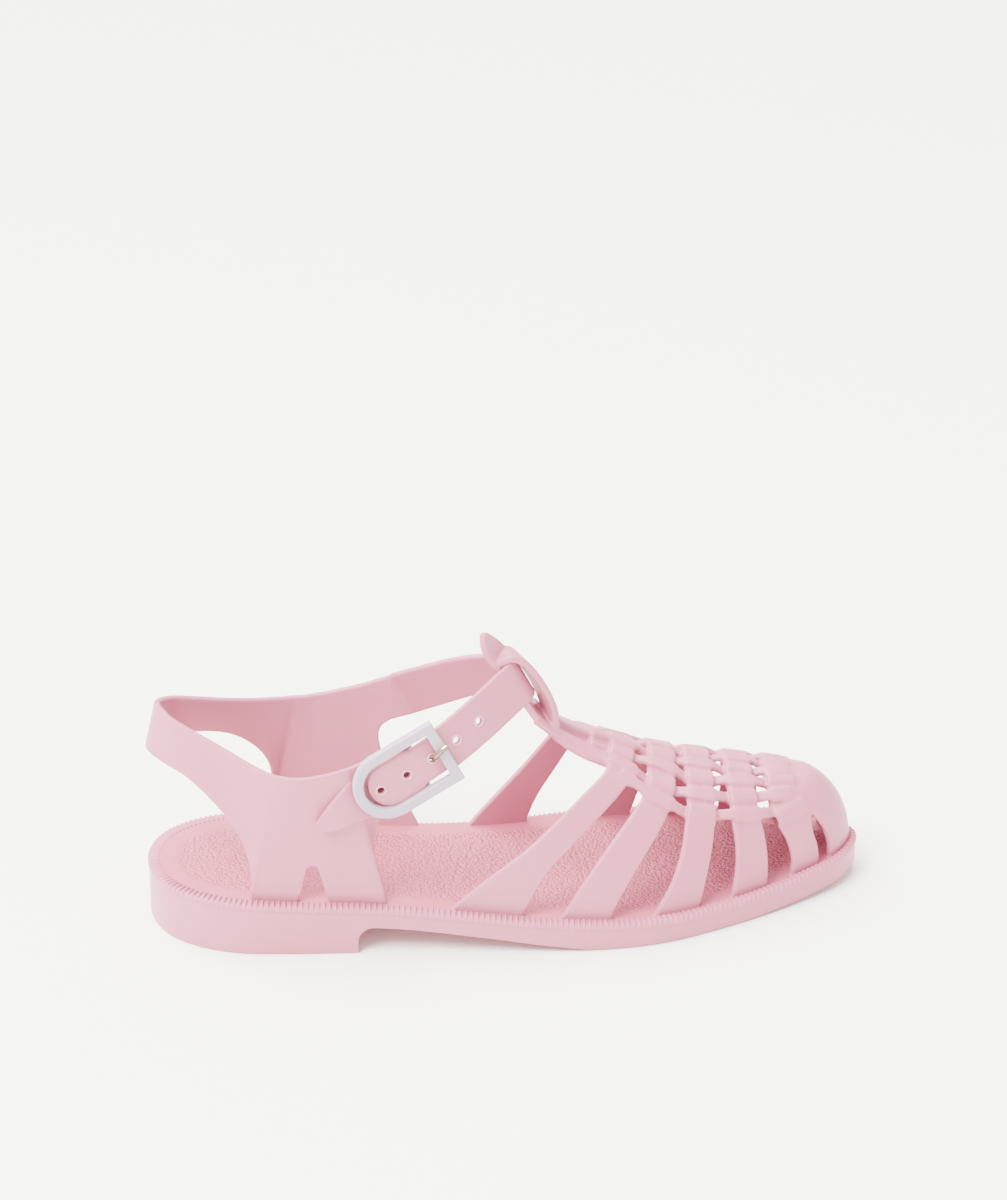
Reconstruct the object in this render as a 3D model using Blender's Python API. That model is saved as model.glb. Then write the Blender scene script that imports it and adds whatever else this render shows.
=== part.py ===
"""Jelly sandal for the right foot, in metres, heel at -X, toe at +X, lateral side at -Y.

The sole is a lofted block with a plain rim, a low heel and an arched shank.
The upper is one moulded wall: a base band that sits inside the rim, two quarters joined by the
heel strap, five straps that cross the vamp through seven long strips, a toe cap, and a T-bar
whose loop carries the ankle strap. The buckle is a frame and a wire prong.
"""
import math

import bmesh
import bpy
import numpy as np

# Driving sizes
SOLE_LENGTH = 0.255
BALL_WIDTH = 0.0825
SEAT_HEIGHT = 0.021
FOREPART_HEIGHT = 0.009
TOE_SPRING = 0.004
SHANK_RISE = 0.0102
BREAST_STRAIGHT = 0.0045
RIM_WIDTH = 0.0042
RIM_LIP = 0.0016
RIM_STEP = 0.0003
EDGE_ROUND = 0.0007
BAND_EDGE = 0.0004
STRAP_EDGE = 0.0006
RECESS_DEPTH = 0.0033
ARCH_RISE = 0.0026
WALL = 0.0024
STRAP_WALL = 0.0021
CLEARANCE = 0.0003
CUT_PAST = 0.004
VAMP_HEIGHT = 0.0525
WEAVE_LIFT = 0.0008
STRIP_WIDTH = 0.0048
COLLAR_HEIGHT = 0.0845
COLLAR_WIDTH = 0.060
CREST_HEIGHT = 0.0891
STRAP_WIDTH = 0.0145
STRAP_TILT = math.radians(28.0)
LOOP_WIDTH = 0.0115
LOOP_WALL = 0.0025
HOLE_RADIUS = 0.0015
HOLE_COUNT = 5
HOLE_PITCH = 0.0103
FRAME_LENGTH = 0.036
FRAME_WIDTH = 0.026
FRAME_BAR = 0.0038
FRAME_THICK = 0.0028
FRAME_EDGE = 0.0006
LEG_WIDTH = 0.0023
PIN_RADIUS = 0.0011
PRONG_RADIUS = 0.001
# Places from heel to toe at which the sole, the insole and the base band share their edges
EDGE_STEPS = 34

# Outline of the sole, round by the lateral side: x share of SOLE_LENGTH, y share of BALL_WIDTH
OUTLINE = [
    (-0.500, 0.000), (-0.492, -0.125), (-0.470, -0.240), (-0.430, -0.335), (-0.375, -0.398),
    (-0.300, -0.423), (-0.180, -0.443), (-0.050, -0.480), (0.050, -0.500), (0.140, -0.500),
    (0.210, -0.467), (0.280, -0.390), (0.350, -0.295), (0.420, -0.180), (0.470, -0.070),
    (0.496, 0.060), (0.494, 0.160), (0.465, 0.285), (0.410, 0.390), (0.330, 0.465),
    (0.235, 0.498), (0.140, 0.480), (0.050, 0.412), (-0.030, 0.335), (-0.110, 0.296),
    (-0.200, 0.315), (-0.300, 0.362), (-0.380, 0.370), (-0.435, 0.320), (-0.475, 0.225),
    (-0.494, 0.115),
]

# Side of the sole: x share, share of the drop from seat to forepart, share of SHANK_RISE
SIDE = [
    (-0.50, 1.00, 1.00), (-0.30, 0.83, 1.00), (-0.18, 0.70, 0.98), (-0.05, 0.42, 0.62),
    (0.05, 0.19, 0.22), (0.12, 0.07, -0.02), (0.21, 0.00, -0.10), (0.50, 0.00, -0.10),
]
SPRING_START = 0.27
SHANK_END = 0.13
# Where the rim starts to narrow, and by what share at the toe
RIM_NARROWS = 0.38
RIM_TAPER = 0.4
# Middle and half length of the medial arch as x shares; share of its rise that the band follows
ARCH_MIDDLE = -0.06
ARCH_SPREAD = 0.17
BAND_RISE = 0.8
# Shares of BALL_WIDTH between which the band starts to rise, and of the insole's own width
ARCH_SIDE = (0.10, 0.25)
ARCH_REACH = 0.45
BREAST_PLACE = -0.217

# Vamp of the last: x share, ridge y share of BALL_WIDTH, ridge height share, roundness
VAMP = [
    (-0.12, 0.000, 2.250, 1.80), (0.00, 0.000, 1.680, 1.80), (0.06, 0.005, 1.370, 1.85),
    (0.13, 0.030, 1.160, 1.95), (0.21, 0.050, 1.005, 2.05), (0.32, 0.070, 0.885, 2.15),
    (0.405, 0.075, 0.810, 2.30), (0.46, 0.080, 0.720, 2.30),
]

# Cross straps: x share and round share of the last, width in STRIP_WIDTH, lateral to medial.
# Round share is -1 at the lateral feather edge, 0 on the ridge and 1 at the medial edge.
CROSS = [
    [(-0.037, -1.00, 4.6), (-0.005, -0.89, 3.3), (0.028, -0.77, 2.35), (0.067, -0.63, 2.1),
     (0.107, -0.47, 2.0), (0.143, -0.29, 1.9), (0.156, -0.09, 1.85), (0.160, 0.08, 1.85),
     (0.150, 0.28, 1.9), (0.116, 0.48, 2.05), (0.073, 0.66, 2.35), (0.024, 0.84, 3.2),
     (-0.016, 1.00, 5.0)],
    [(0.092, -1.00, 3.75), (0.111, -0.88, 3.1), (0.147, -0.69, 2.7), (0.182, -0.50, 2.4),
     (0.203, -0.34, 2.15), (0.213, -0.10, 2.0), (0.216, 0.10, 2.0), (0.214, 0.32, 2.1),
     (0.203, 0.52, 2.3), (0.180, 0.76, 2.7), (0.150, 1.00, 3.7)],
    [(0.220, -1.00, 3.7), (0.237, -0.86, 2.8), (0.251, -0.68, 2.4), (0.259, -0.50, 2.3),
     (0.263, -0.33, 2.1), (0.265, -0.05, 2.0), (0.267, 0.22, 2.0), (0.270, 0.45, 2.2),
     (0.268, 0.70, 2.6), (0.258, 1.00, 3.6)],
    [(0.328, -1.00, 3.2), (0.332, -0.86, 2.8), (0.331, -0.69, 2.5), (0.326, -0.52, 2.3),
     (0.322, -0.30, 2.1), (0.322, 0.00, 2.0), (0.325, 0.28, 2.1), (0.333, 0.50, 2.3),
     (0.341, 0.74, 2.7), (0.343, 1.00, 3.2)],
    [(0.413, -1.00, 2.6), (0.413, -0.88, 2.4), (0.405, -0.72, 2.3), (0.393, -0.55, 2.2),
     (0.381, -0.36, 2.1), (0.379, -0.05, 2.1), (0.380, 0.22, 2.1), (0.390, 0.44, 2.2),
     (0.404, 0.70, 2.5), (0.411, 1.00, 2.8)],
]

# Long strips: x share, then the round share of each strip from the lateral to the medial side
STRIPS = [
    (0.03, -0.20, -0.16, -0.06, 0.01, 0.08, 0.18, 0.22),
    (0.10, -0.20, -0.14, -0.06, 0.01, 0.08, 0.17, 0.22),
    (0.14, -0.24, -0.18, -0.06, 0.02, 0.10, 0.22, 0.28),
    (0.18, -0.32, -0.23, -0.09, 0.02, 0.13, 0.27, 0.36),
    (0.21, -0.38, -0.275, -0.125, 0.005, 0.14, 0.285, 0.41),
    (0.25, -0.44, -0.31, -0.18, -0.05, 0.09, 0.24, 0.40),
    (0.30, -0.465, -0.335, -0.20, -0.075, 0.06, 0.20, 0.36),
    (0.35, -0.485, -0.345, -0.205, -0.08, 0.05, 0.19, 0.35),
    (0.39, -0.495, -0.34, -0.19, -0.07, 0.06, 0.20, 0.36),
    (0.43, -0.50, -0.34, -0.19, -0.07, 0.06, 0.20, 0.36),
]
STRIP_STARTS = [0.150, 0.035, 0.115, 0.115, 0.115, 0.035, 0.150]
STRIP_END = 0.418
STRIP_STEPS = 42
# Share of each swing that stays level, and where the swings begin and end: round share of the
# cross straps, x shares of the strips at the T-bar and at the toe cap
WAVE_FLAT = 0.2
CROSS_FLAT = 0.09
BAR_FLAT = 0.08
CAP_FLAT = 0.015
# Round share from which a band turns its width to the feather edge
FOOT_TURN = 0.72

# Rear edge of the toe cap on the lateral side: x share, round share
CAP_EDGE = [(0.446, 1.00), (0.444, 0.86), (0.436, 0.70), (0.421, 0.52), (0.410, 0.32)]
CAP_ROWS = 5
CAP_COLUMNS = 18
CAP_WALL = 0.0023
CAP_PROUD = 0.00005
CAP_SAG = 0.004
CAP_BLEND = 0.30

# Quarters, outer face, from the back of the heel: x share of SOLE_LENGTH, reach share of half
# COLLAR_WIDTH and height share of COLLAR_HEIGHT, for the top edge and then for the low edge.
# A low reach of 0 marks a point on the base band.
HEEL_BACK = (-0.476, 0.00, 1.000, -0.492, 0.00, 0.793)
HEEL_TURN = [(-0.470, 0.16, 0.990, -0.486, 0.18, 0.788), (-0.456, 0.30, 0.970, -0.470, 0.34, 0.775)]
LATERAL = [
    (-0.428, 0.44, 0.935, -0.440, 0.54, 0.743), (-0.390, 0.62, 0.888, -0.408, 0.69, 0.662),
    (-0.364, 0.76, 0.856, -0.386, 0.77, 0.580), (-0.344, 0.87, 0.834, -0.369, 0.83, 0.490),
    (-0.328, 0.94, 0.821, -0.360, 0.88, 0.390), (-0.314, 0.98, 0.814, -0.358, 0.93, 0.300),
    (-0.304, 1.00, 0.811, -0.360, 0.00, 0.00), (-0.294, 1.01, 0.810, -0.332, 0.00, 0.00),
    (-0.284, 1.01, 0.810, -0.304, 0.00, 0.00), (-0.274, 1.01, 0.812, -0.278, 0.00, 0.00),
    (-0.264, 1.00, 0.815, -0.252, 0.00, 0.00), (-0.250, 0.99, 0.821, -0.216, 0.00, 0.00),
    (-0.233, 0.96, 0.830, -0.178, 0.00, 0.00), (-0.218, 0.93, 0.839, -0.186, 0.94, 0.300),
    (-0.204, 0.89, 0.849, -0.193, 0.91, 0.390), (-0.192, 0.86, 0.857, -0.193, 0.87, 0.460),
    (-0.181, 0.82, 0.860, -0.186, 0.83, 0.545), (-0.170, 0.78, 0.858, -0.172, 0.79, 0.630),
    (-0.157, 0.745, 0.852, -0.157, 0.75, 0.700),
]
MEDIAL = [
    (-0.428, 0.44, 0.935, -0.440, 0.54, 0.755), (-0.390, 0.62, 0.888, -0.398, 0.69, 0.720),
    (-0.364, 0.75, 0.858, -0.368, 0.78, 0.672), (-0.338, 0.85, 0.836, -0.342, 0.87, 0.592),
    (-0.316, 0.93, 0.822, -0.327, 0.90, 0.508), (-0.300, 0.97, 0.815, -0.323, 0.92, 0.400),
    (-0.288, 1.00, 0.812, -0.323, 0.94, 0.300), (-0.276, 1.01, 0.811, -0.324, 0.00, 0.00),
    (-0.267, 1.02, 0.812, -0.290, 0.00, 0.00), (-0.259, 1.03, 0.814, -0.256, 0.00, 0.00),
    (-0.2515, 1.03, 0.817, -0.220, 0.00, 0.00), (-0.244, 1.03, 0.820, -0.184, 0.00, 0.00),
    (-0.2375, 1.03, 0.824, -0.150, 0.00, 0.00), (-0.231, 1.03, 0.828, -0.116, 0.00, 0.00),
    (-0.2235, 1.03, 0.833, -0.130, 0.76, 0.280), (-0.2165, 1.02, 0.839, -0.146, 0.80, 0.380),
    (-0.209, 1.01, 0.845, -0.160, 0.848, 0.480), (-0.199, 1.00, 0.854, -0.170, 0.88, 0.560),
    (-0.187, 0.99, 0.865, -0.173, 0.895, 0.625), (-0.174, 0.98, 0.879, -0.168, 0.90, 0.672),
    (-0.158, 0.955, 0.897, -0.155, 0.89, 0.703),
]
QUARTER_ROWS = 3
# Rounded openings low in the quarters: x share, height share, foot width share, side
QUARTER_HOLES = [(-0.276, 0.395, 0.050, -1), (-0.220, 0.385, 0.050, 1)]
HOLE_SHAPE = [(0.50, 0.00), (0.19, 0.82), (0.13, 0.95), (0.00, 1.00)]

# Ankle strap seen from above, crest to crest: x share of SOLE_LENGTH, y share of COLLAR_WIDTH
ANKLE_MEDIAL = [(-0.137, 0.415), (-0.114, 0.372), (-0.086, 0.317), (-0.058, 0.258),
                (-0.030, 0.187), (-0.006, 0.104), (0.010, 0.036)]
ANKLE_CREST = (0.0155, -0.025)
ANKLE_LATERAL = [(0.010, -0.090), (-0.006, -0.155), (-0.026, -0.222), (-0.048, -0.288),
                 (-0.078, -0.366), (-0.111, -0.430), (-0.146, -0.466), (-0.176, -0.489),
                 (-0.195, -0.499)]
MEDIAL_LIFT = 0.0012
# Shares of the strap's width and length at its flared root; turns and bluntness of its round end
ROOT_FLARE = 0.08
ROOT_LENGTH = 0.25
END_TURNS = (0.35, 0.8, 1.2)
END_BLUNT = 0.2
END_HOLE = 0.0047
ANKLE_LEVEL_Y = -0.0015

# T-bar in side view: x share, height share of CREST_HEIGHT, width share of LOOP_WIDTH, and the
# share of LEAF_TURN by which the width turns to the lateral side
BAR = [
    (0.135, 0.630, 1.05, 0.0), (0.105, 0.668, 1.08, 0.0), (0.078, 0.716, 1.10, 0.0),
    (0.056, 0.775, 1.08, 0.0), (0.037, 0.835, 1.05, 0.0), (0.0215, 0.905, 1.02, 0.0),
    (0.0065, 0.980, 1.00, 0.12), (-0.008, 1.052, 0.98, 0.55), (-0.0195, 1.112, 0.86, 0.9),
    (-0.0275, 1.155, 0.55, 1.0), (-0.0335, 1.190, 0.16, 1.0),
]
BAND = [
    (0.083, 0.708, 1.0, 0.0), (0.066, 0.752, 1.0, 0.0), (0.059, 0.800, 1.0, 0.0),
    (0.0555, 0.862, 1.0, 0.0), (0.0455, 0.950, 1.0, 0.0), (0.0300, 1.040, 1.0, 0.0),
    (0.0140, 1.100, 1.0, 0.0), (0.0000, 1.112, 0.96, 0.0), (-0.0110, 1.090, 0.90, 0.0),
]
LEAF_TURN = math.radians(48.0)

# Buckle tab, from its free tip on the lateral quarter to the buckle pin, measured from the pin:
# shares of FRAME_LENGTH along, STRAP_WIDTH across and PIN_DEPTH outwards, width in STRAP_WIDTH
TAB = [
    (-1.065, -0.124, 0.478, 0.34), (-0.923, -0.066, 0.592, 0.52), (-0.748, -0.025, 0.537, 0.74),
    (-0.595, -0.009, 0.347, 0.88), (-0.479, 0.0, 0.144, 0.93), (-0.347, 0.0, -0.065, 0.93),
    (-0.181, 0.0, -0.208, 0.93), (-0.053, 0.0, -0.274, 0.90),
]
# Buckle: which hole the prong passes, and the frame's middle from that hole's middle:
# share of FRAME_LENGTH along, share of FRAME_WIDTH across, share of PIN_DEPTH outwards
PRONG_HOLE = 2
FRAME_PLACE = (-0.3493, 0.0, 0.4154)
FRAME_SLOPE = math.radians(9.6)
PIN_ALONG = 0.1506
PIN_DEPTH = 0.0052
KNUCKLE_RADIUS = 0.0025
KNUCKLE_REACH = 0.44
# The prong's slot starts this share of KNUCKLE_RADIUS behind the pin
SLOT_START = -0.25
PRONG_END = 0.6
# Prong in the buckle's plane: share of FRAME_LENGTH along it, depth in PIN_DEPTH
PRONG = [
    (0.142, -1.455), (0.171, -1.43), (0.197, -1.33), (0.220, -1.10), (0.244, -0.95),
    (0.284, -0.91), (0.321, -0.80), (0.341, -0.62), (0.349, -0.40), (0.354, -0.18),
    (0.360, 0.08), (0.374, 0.34), (0.399, 0.50), (0.453, 0.565), (0.490, 0.53),
]

COLORS = {
    "sole": (0.86, 0.60, 0.65, 1.0),
    "insole": (0.80, 0.50, 0.56, 1.0),
    "upper": (0.87, 0.62, 0.67, 1.0),
    "buckle_frame": (0.92, 0.89, 0.94, 1.0),
    "buckle_prong": (0.76, 0.70, 0.56, 1.0),
}


def remove_all():
    for obj in list(bpy.data.objects):
        bpy.data.objects.remove(obj, do_unlink=True)


def smooth(table, column, x):
    """Value of a table's column at x, through the rows in a smooth curve."""
    xs = np.array([row[0] for row in table], float)
    ys = np.array([row[column] for row in table], float)
    slopes = np.gradient(ys, xs)
    x = np.asarray(x, float)
    i = np.clip(np.searchsorted(xs, x) - 1, 0, len(xs) - 2)
    h = xs[i + 1] - xs[i]
    t = np.clip((x - xs[i]) / h, 0.0, 1.0)
    start = (2 * t**3 - 3 * t**2 + 1) * ys[i] + (t**3 - 2 * t**2 + t) * h * slopes[i]
    end = (3 * t**2 - 2 * t**3) * ys[i + 1] + (t**3 - t**2) * h * slopes[i + 1]
    return start + end


def spline(points, per, closed=False):
    """Catmull-Rom curve through the points, with per steps between two of them."""
    p = np.array(points, float)
    count = len(p)
    out = []
    for i in range(count if closed else count - 1):
        if closed:
            a, b, c, d = p[i - 1], p[i], p[(i + 1) % count], p[(i + 2) % count]
        else:
            b, c = p[i], p[i + 1]
            a = p[i - 1] if i > 0 else 2 * b - c
            d = p[i + 2] if i + 2 < count else 2 * c - b
        for k in range(per):
            t = k / per
            out.append(0.5 * (2 * b + (c - a) * t + (2 * a - 5 * b + 4 * c - d) * t**2
                              + (3 * b - a - 3 * c + d) * t**3))
    if not closed:
        out.append(p[-1])
    return np.array(out)


def respaced(points, count, closed=False):
    """The same curve with count points at even distances."""
    p = np.vstack([points, points[:1]]) if closed else points
    run = np.r_[0, np.cumsum(np.linalg.norm(np.diff(p, axis=0), axis=1))]
    s = np.linspace(0, run[-1], count, endpoint=not closed)
    return np.stack([np.interp(s, run, p[:, k]) for k in range(p.shape[1])], 1)


def spring(x):
    u = np.clip((x / SOLE_LENGTH - SPRING_START) / (0.5 - SPRING_START), 0, 1)
    return TOE_SPRING * u**2


def rim_height(x):
    drop = smooth(SIDE, 1, x / SOLE_LENGTH)
    return FOREPART_HEIGHT + (SEAT_HEIGHT - FOREPART_HEIGHT) * drop + spring(x)


def rim_width(x):
    """The rim narrows to three fifths of its width round the toe."""
    u = np.clip((x / SOLE_LENGTH - RIM_NARROWS) / (0.5 - RIM_NARROWS), 0, 1)
    return RIM_WIDTH * (1 - RIM_TAPER * u**2)


def arch_edge(x):
    """Share of the arch's rise along the medial edge."""
    u = (x / SOLE_LENGTH - ARCH_MIDDLE) / ARCH_SPREAD
    return np.exp(-u**2)


OUTER = respaced(spline([(x * SOLE_LENGTH, y * BALL_WIDTH) for x, y in OUTLINE], 8, True), 240, True)


def edge_sides(inset, follow_rim):
    """Lateral and medial halves of the outline, moved inwards."""
    along = np.roll(OUTER, -1, 0) - np.roll(OUTER, 1, 0)
    along /= np.linalg.norm(along, axis=1)[:, None]
    inward = np.stack([-along[:, 1], along[:, 0]], 1)
    dist = inset + (rim_width(OUTER[:, 0]) if follow_rim else 0.0)
    ring = OUTER + inward * np.reshape(dist * np.ones(len(OUTER)), (-1, 1))
    back, front, count = ring[:, 0].argmin(), ring[:, 0].argmax(), len(ring)
    lateral = ring[[(back + k) % count for k in range((front - back) % count + 1)]]
    medial = ring[[(front + k) % count for k in range((back - front) % count + 1)]][::-1]
    return lateral, medial


def stations(inset, follow_rim, count):
    """Matching lateral and medial points at count + 1 places from heel to toe."""
    lateral, medial = edge_sides(inset, follow_rim)
    first, last_x = lateral[0, 0], lateral[-1, 0]
    turn = np.pi * np.arange(count + 1) / count
    x = (first + last_x) / 2 - (last_x - first) / 2 * np.cos(turn)
    low = np.interp(x, lateral[:, 0], lateral[:, 1])
    high = np.interp(x, medial[:, 0], medial[:, 1])
    return x, low, high


BASE_LATERAL, BASE_MEDIAL = edge_sides(CLEARANCE + WALL / 2, True)


def base_y(x, side):
    edge = BASE_LATERAL if side < 0 else BASE_MEDIAL
    return np.interp(x, edge[:, 0], edge[:, 1])


def base_z(x):
    """Middle of the base band's height."""
    return rim_height(x) - RECESS_DEPTH / 2


def last(share, turn):
    """Point of the vamp surface at an x share and a round share from -1 to 1."""
    share, turn = np.asarray(share, float), np.asarray(turn, float)
    x = share * SOLE_LENGTH
    ridge = smooth(VAMP, 1, share) * BALL_WIDTH
    top = smooth(VAMP, 2, share) * VAMP_HEIGHT - STRAP_WALL / 2
    power = 2 / smooth(VAMP, 3, share)
    angle = turn * np.pi / 2
    edge = np.where(turn < 0, base_y(x, -1), base_y(x, 1))
    floor = base_z(x)
    cosine = np.cos(angle)
    y = ridge + (edge - ridge) * np.abs(np.sin(angle)) ** power
    z = floor + (top - floor) * np.sign(cosine) * np.abs(cosine) ** power
    return np.stack([x * np.ones_like(y), y, z], -1)


def unit(v):
    return v / np.maximum(np.linalg.norm(v, axis=-1, keepdims=True), 1e-12)


def grid_normals(grid):
    """Normals of a grid of points, outwards for rows that run from lateral to medial."""
    along = np.gradient(grid, axis=0)
    across = np.gradient(grid, axis=1)
    return unit(np.cross(along, across))


def mesh_object(name, verts, faces):
    mesh = bpy.data.meshes.new(name)
    mesh.from_pydata([tuple(v) for v in verts], [], faces)
    bm = bmesh.new()
    bm.from_mesh(mesh)
    bmesh.ops.remove_doubles(bm, verts=bm.verts, dist=1e-6)
    bmesh.ops.recalc_face_normals(bm, faces=bm.faces)
    bmesh.ops.triangulate(bm, faces=bm.faces)
    bm.to_mesh(mesh)
    bm.free()
    obj = bpy.data.objects.new(name, mesh)
    bpy.context.scene.collection.objects.link(obj)
    return obj


def loft(name, rings, closed=False):
    """Closed body through rings of equal count; its ends are capped unless it closes on itself."""
    rings = np.array(rings)
    count, size = rings.shape[:2]
    verts = rings.reshape(-1, 3)
    faces = []
    for i in range(count if closed else count - 1):
        j = (i + 1) % count
        for k in range(size):
            m = (k + 1) % size
            faces.append((i * size + k, i * size + m, j * size + m, j * size + k))
    if not closed:
        faces.append(tuple(range(size - 1, -1, -1)))
        faces.append(tuple((count - 1) * size + k for k in range(size)))
    return mesh_object(name, verts, faces)


def slab(name, grid, wall, chamfer=STRAP_EDGE, closed=False, normals=None):
    """Wall of even thickness on a grid of middle points, its long edges sloped by the chamfer."""
    n = grid_normals(grid) if normals is None else normals
    outer = grid + n * wall / 2
    inner = grid - n * wall / 2
    first = unit(grid[:, 1] - grid[:, 0]) * chamfer
    final = unit(grid[:, -1] - grid[:, -2]) * chamfer
    outer[:, 0] += first
    outer[:, -1] -= final
    parts = [outer, inner[:, ::-1]]
    return loft(name, np.concatenate(parts, 1), closed)


def boolean(target, other, operation):
    """Joins or cuts in place with the exact solver and removes the tool body."""
    modifier = target.modifiers.new(operation.lower(), "BOOLEAN")
    modifier.operation = operation
    modifier.solver = "EXACT"
    modifier.object = other
    depsgraph = bpy.context.evaluated_depsgraph_get()
    mesh = bpy.data.meshes.new_from_object(target.evaluated_get(depsgraph))
    target.modifiers.clear()
    old = target.data
    target.data = mesh
    bpy.data.meshes.remove(old)
    bpy.data.objects.remove(other, do_unlink=True)


def join_all(name, bodies):
    first = bodies[0]
    for body in bodies[1:]:
        boolean(first, body, "UNION")
    first.name = name
    return first


def sheet_of_stations(x, low, high, z):
    """Points round the edge, and the pairs that a flat cap joins."""
    lateral = np.stack([x, low, z(x)], 1)
    medial = np.stack([x, high, z(x)], 1)
    return np.vstack([lateral, medial[-2:0:-1]])


def cap_faces(start, count, flip):
    """Strips between the lateral and the medial points of one ring of 2 * count points."""
    faces = []
    for i in range(count):
        a, b = start + i, start + i + 1
        c = start + (2 * count - i - 1) % (2 * count)
        d = start + (2 * count - i) % (2 * count)
        face = [a, b, c, d] if i not in (0, count - 1) else None
        if i == 0:
            face = [a, b, c]
        if i == count - 1:
            face = [a, b, d]
        faces.append(tuple(face[::-1] if flip else face))
    return faces


def sole():
    count = EDGE_STEPS
    layers = [
        (EDGE_ROUND, False, spring),
        (RIM_STEP * 0.5, False, lambda x: spring(x) + EDGE_ROUND),
        (RIM_STEP, False, lambda x: rim_height(x) - RIM_LIP - RIM_STEP),
        (0.0, False, lambda x: rim_height(x) - RIM_LIP),
        (0.0, False, lambda x: rim_height(x) - EDGE_ROUND),
        (EDGE_ROUND, False, rim_height),
        (0.0, True, rim_height),
        (0.0, True, lambda x: rim_height(x) - RECESS_DEPTH),
    ]
    verts, faces = [], []
    size = 2 * count
    for inset, follow, z in layers:
        x, low, high = stations(inset, follow, count)
        verts.extend(sheet_of_stations(x, low, high, z))
    for i in range(len(layers) - 1):
        for k in range(size):
            m = (k + 1) % size
            faces.append((i * size + k, i * size + m, (i + 1) * size + m, (i + 1) * size + k))
    faces += cap_faces(0, count, True)
    faces += cap_faces((len(layers) - 1) * size, count, False)
    body = mesh_object("sole", verts, faces)
    boolean(body, shank_cutter(), "DIFFERENCE")
    return body


def shank_cutter():
    """Prism that clears the underside between the heel breast and the ball."""
    breast = BREAST_PLACE * SOLE_LENGTH
    depth = -CUT_PAST
    radius = SHANK_RISE - BREAST_STRAIGHT
    profile = [(breast, depth), (breast, BREAST_STRAIGHT)]
    for k in range(1, 6):
        turn = math.pi / 2 * k / 5
        profile.append((breast + radius * (1 - math.cos(turn)), BREAST_STRAIGHT + radius * math.sin(turn)))
    start = (breast + radius) / SOLE_LENGTH
    for share in np.linspace(start, SHANK_END, 9)[1:]:
        profile.append((share * SOLE_LENGTH, SHANK_RISE * float(smooth(SIDE, 2, share))))
    profile.append((SHANK_END * SOLE_LENGTH, depth))
    rings = [[(x, y, z) for x, z in profile] for y in (-BALL_WIDTH, BALL_WIDTH)]
    return loft("shank_cutter", rings)


def insole():
    """Plate in the recess, inside the base band; its top rises along the medial arch."""
    count, columns = EDGE_STEPS, 6
    inset = 2 * CLEARANCE + WALL
    x, low, high = stations(inset, True, count)
    c = np.linspace(0, 1, columns)
    y = low[1:-1, None] + (high - low)[1:-1, None] * c
    medial = np.clip((c - ARCH_REACH) / (1 - ARCH_REACH), 0, 1) ** 1.6
    top = rim_height(x) - RIM_STEP
    z = top[1:-1, None] + ARCH_RISE * arch_edge(x)[1:-1, None] * medial
    grid = np.stack([np.repeat(x[1:-1, None], columns, 1), y, z], -1).reshape(-1, 3)
    rows = count - 1
    verts = list(grid)
    heel, toe = len(verts), len(verts) + 1
    verts += [(x[0], low[0], top[0]), (x[-1], low[-1], top[-1])]
    under = len(verts)
    floor = rim_height(x) - RECESS_DEPTH + CLEARANCE
    verts += [(x[i + 1], y[i, 0], floor[i + 1]) for i in range(rows)]
    verts += [(x[i + 1], y[i, -1], floor[i + 1]) for i in range(rows)]
    heel_low, toe_low = len(verts), len(verts) + 1
    verts += [(x[0], low[0], floor[0]), (x[-1], low[-1], floor[-1])]
    faces = []
    for i in range(rows - 1):
        for k in range(columns - 1):
            a, b = i * columns + k, (i + 1) * columns + k
            faces.append((a, b, b + 1, a + 1))
        faces.append((under + i, under + rows + i, under + rows + i + 1, under + i + 1))
        faces.append((i * columns, under + i, under + i + 1, (i + 1) * columns))
        e = i * columns + columns - 1
        faces.append((e, e + columns, under + rows + i + 1, under + rows + i))
    end = (rows - 1) * columns
    for k in range(columns - 1):
        faces.append((heel, k, k + 1))
        faces.append((toe, end + k + 1, end + k))
    faces.append((heel, heel_low, under, 0))
    faces.append((heel, columns - 1, under + rows, heel_low))
    faces.append((heel_low, under + rows, under))
    faces.append((toe, end, under + rows - 1, toe_low))
    faces.append((toe, toe_low, under + 2 * rows - 1, end + columns - 1))
    faces.append((toe_low, under + rows - 1, under + 2 * rows - 1))
    return mesh_object("insole", verts, faces)


def base_band():
    """Closed band that fills the joint between the rim and the insole and carries the straps."""
    count = EDGE_STEPS
    near, far = CLEARANCE, CLEARANCE + WALL
    shave = BAND_EDGE

    def lifted(x, y, drop):
        side = np.clip((y / BALL_WIDTH - ARCH_SIDE[0]) / (ARCH_SIDE[1] - ARCH_SIDE[0]), 0, 1)
        return rim_height(x) - RIM_STEP + ARCH_RISE * BAND_RISE * arch_edge(x) * side - drop

    corners = []
    for inset, low_side, drop in [(near, True, 0), (near, False, shave), (near + shave, False, 0),
                                  (far - shave, False, 0), (far, False, shave), (far, True, 0)]:
        x, low, high = stations(inset, True, count)
        ring = sheet_of_stations(x, low, high, rim_height)
        if low_side:
            ring[:, 2] -= RECESS_DEPTH - CLEARANCE
        else:
            ring[:, 2] = lifted(ring[:, 0], ring[:, 1], drop)
        corners.append(ring)
    return loft("base_band", np.stack(corners, 1), closed=True)


def strip_turn(index, share):
    return smooth(STRIPS, index + 1, share)


def cross_place(row, turn):
    """x share where a cross strap passes a round share."""
    table = [(r[1], r[0]) for r in CROSS[row]]
    return float(smooth(table, 1, turn))


def crossings():
    """x share and round share of each meeting of cross strap i and strip j."""
    places = {}
    for i in range(len(CROSS)):
        for j in range(len(STRIP_STARTS)):
            share = 0.25
            for _ in range(12):
                share = cross_place(i, float(strip_turn(j, share)))
            places[i, j] = (share, float(strip_turn(j, share)))
    return places


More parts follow.
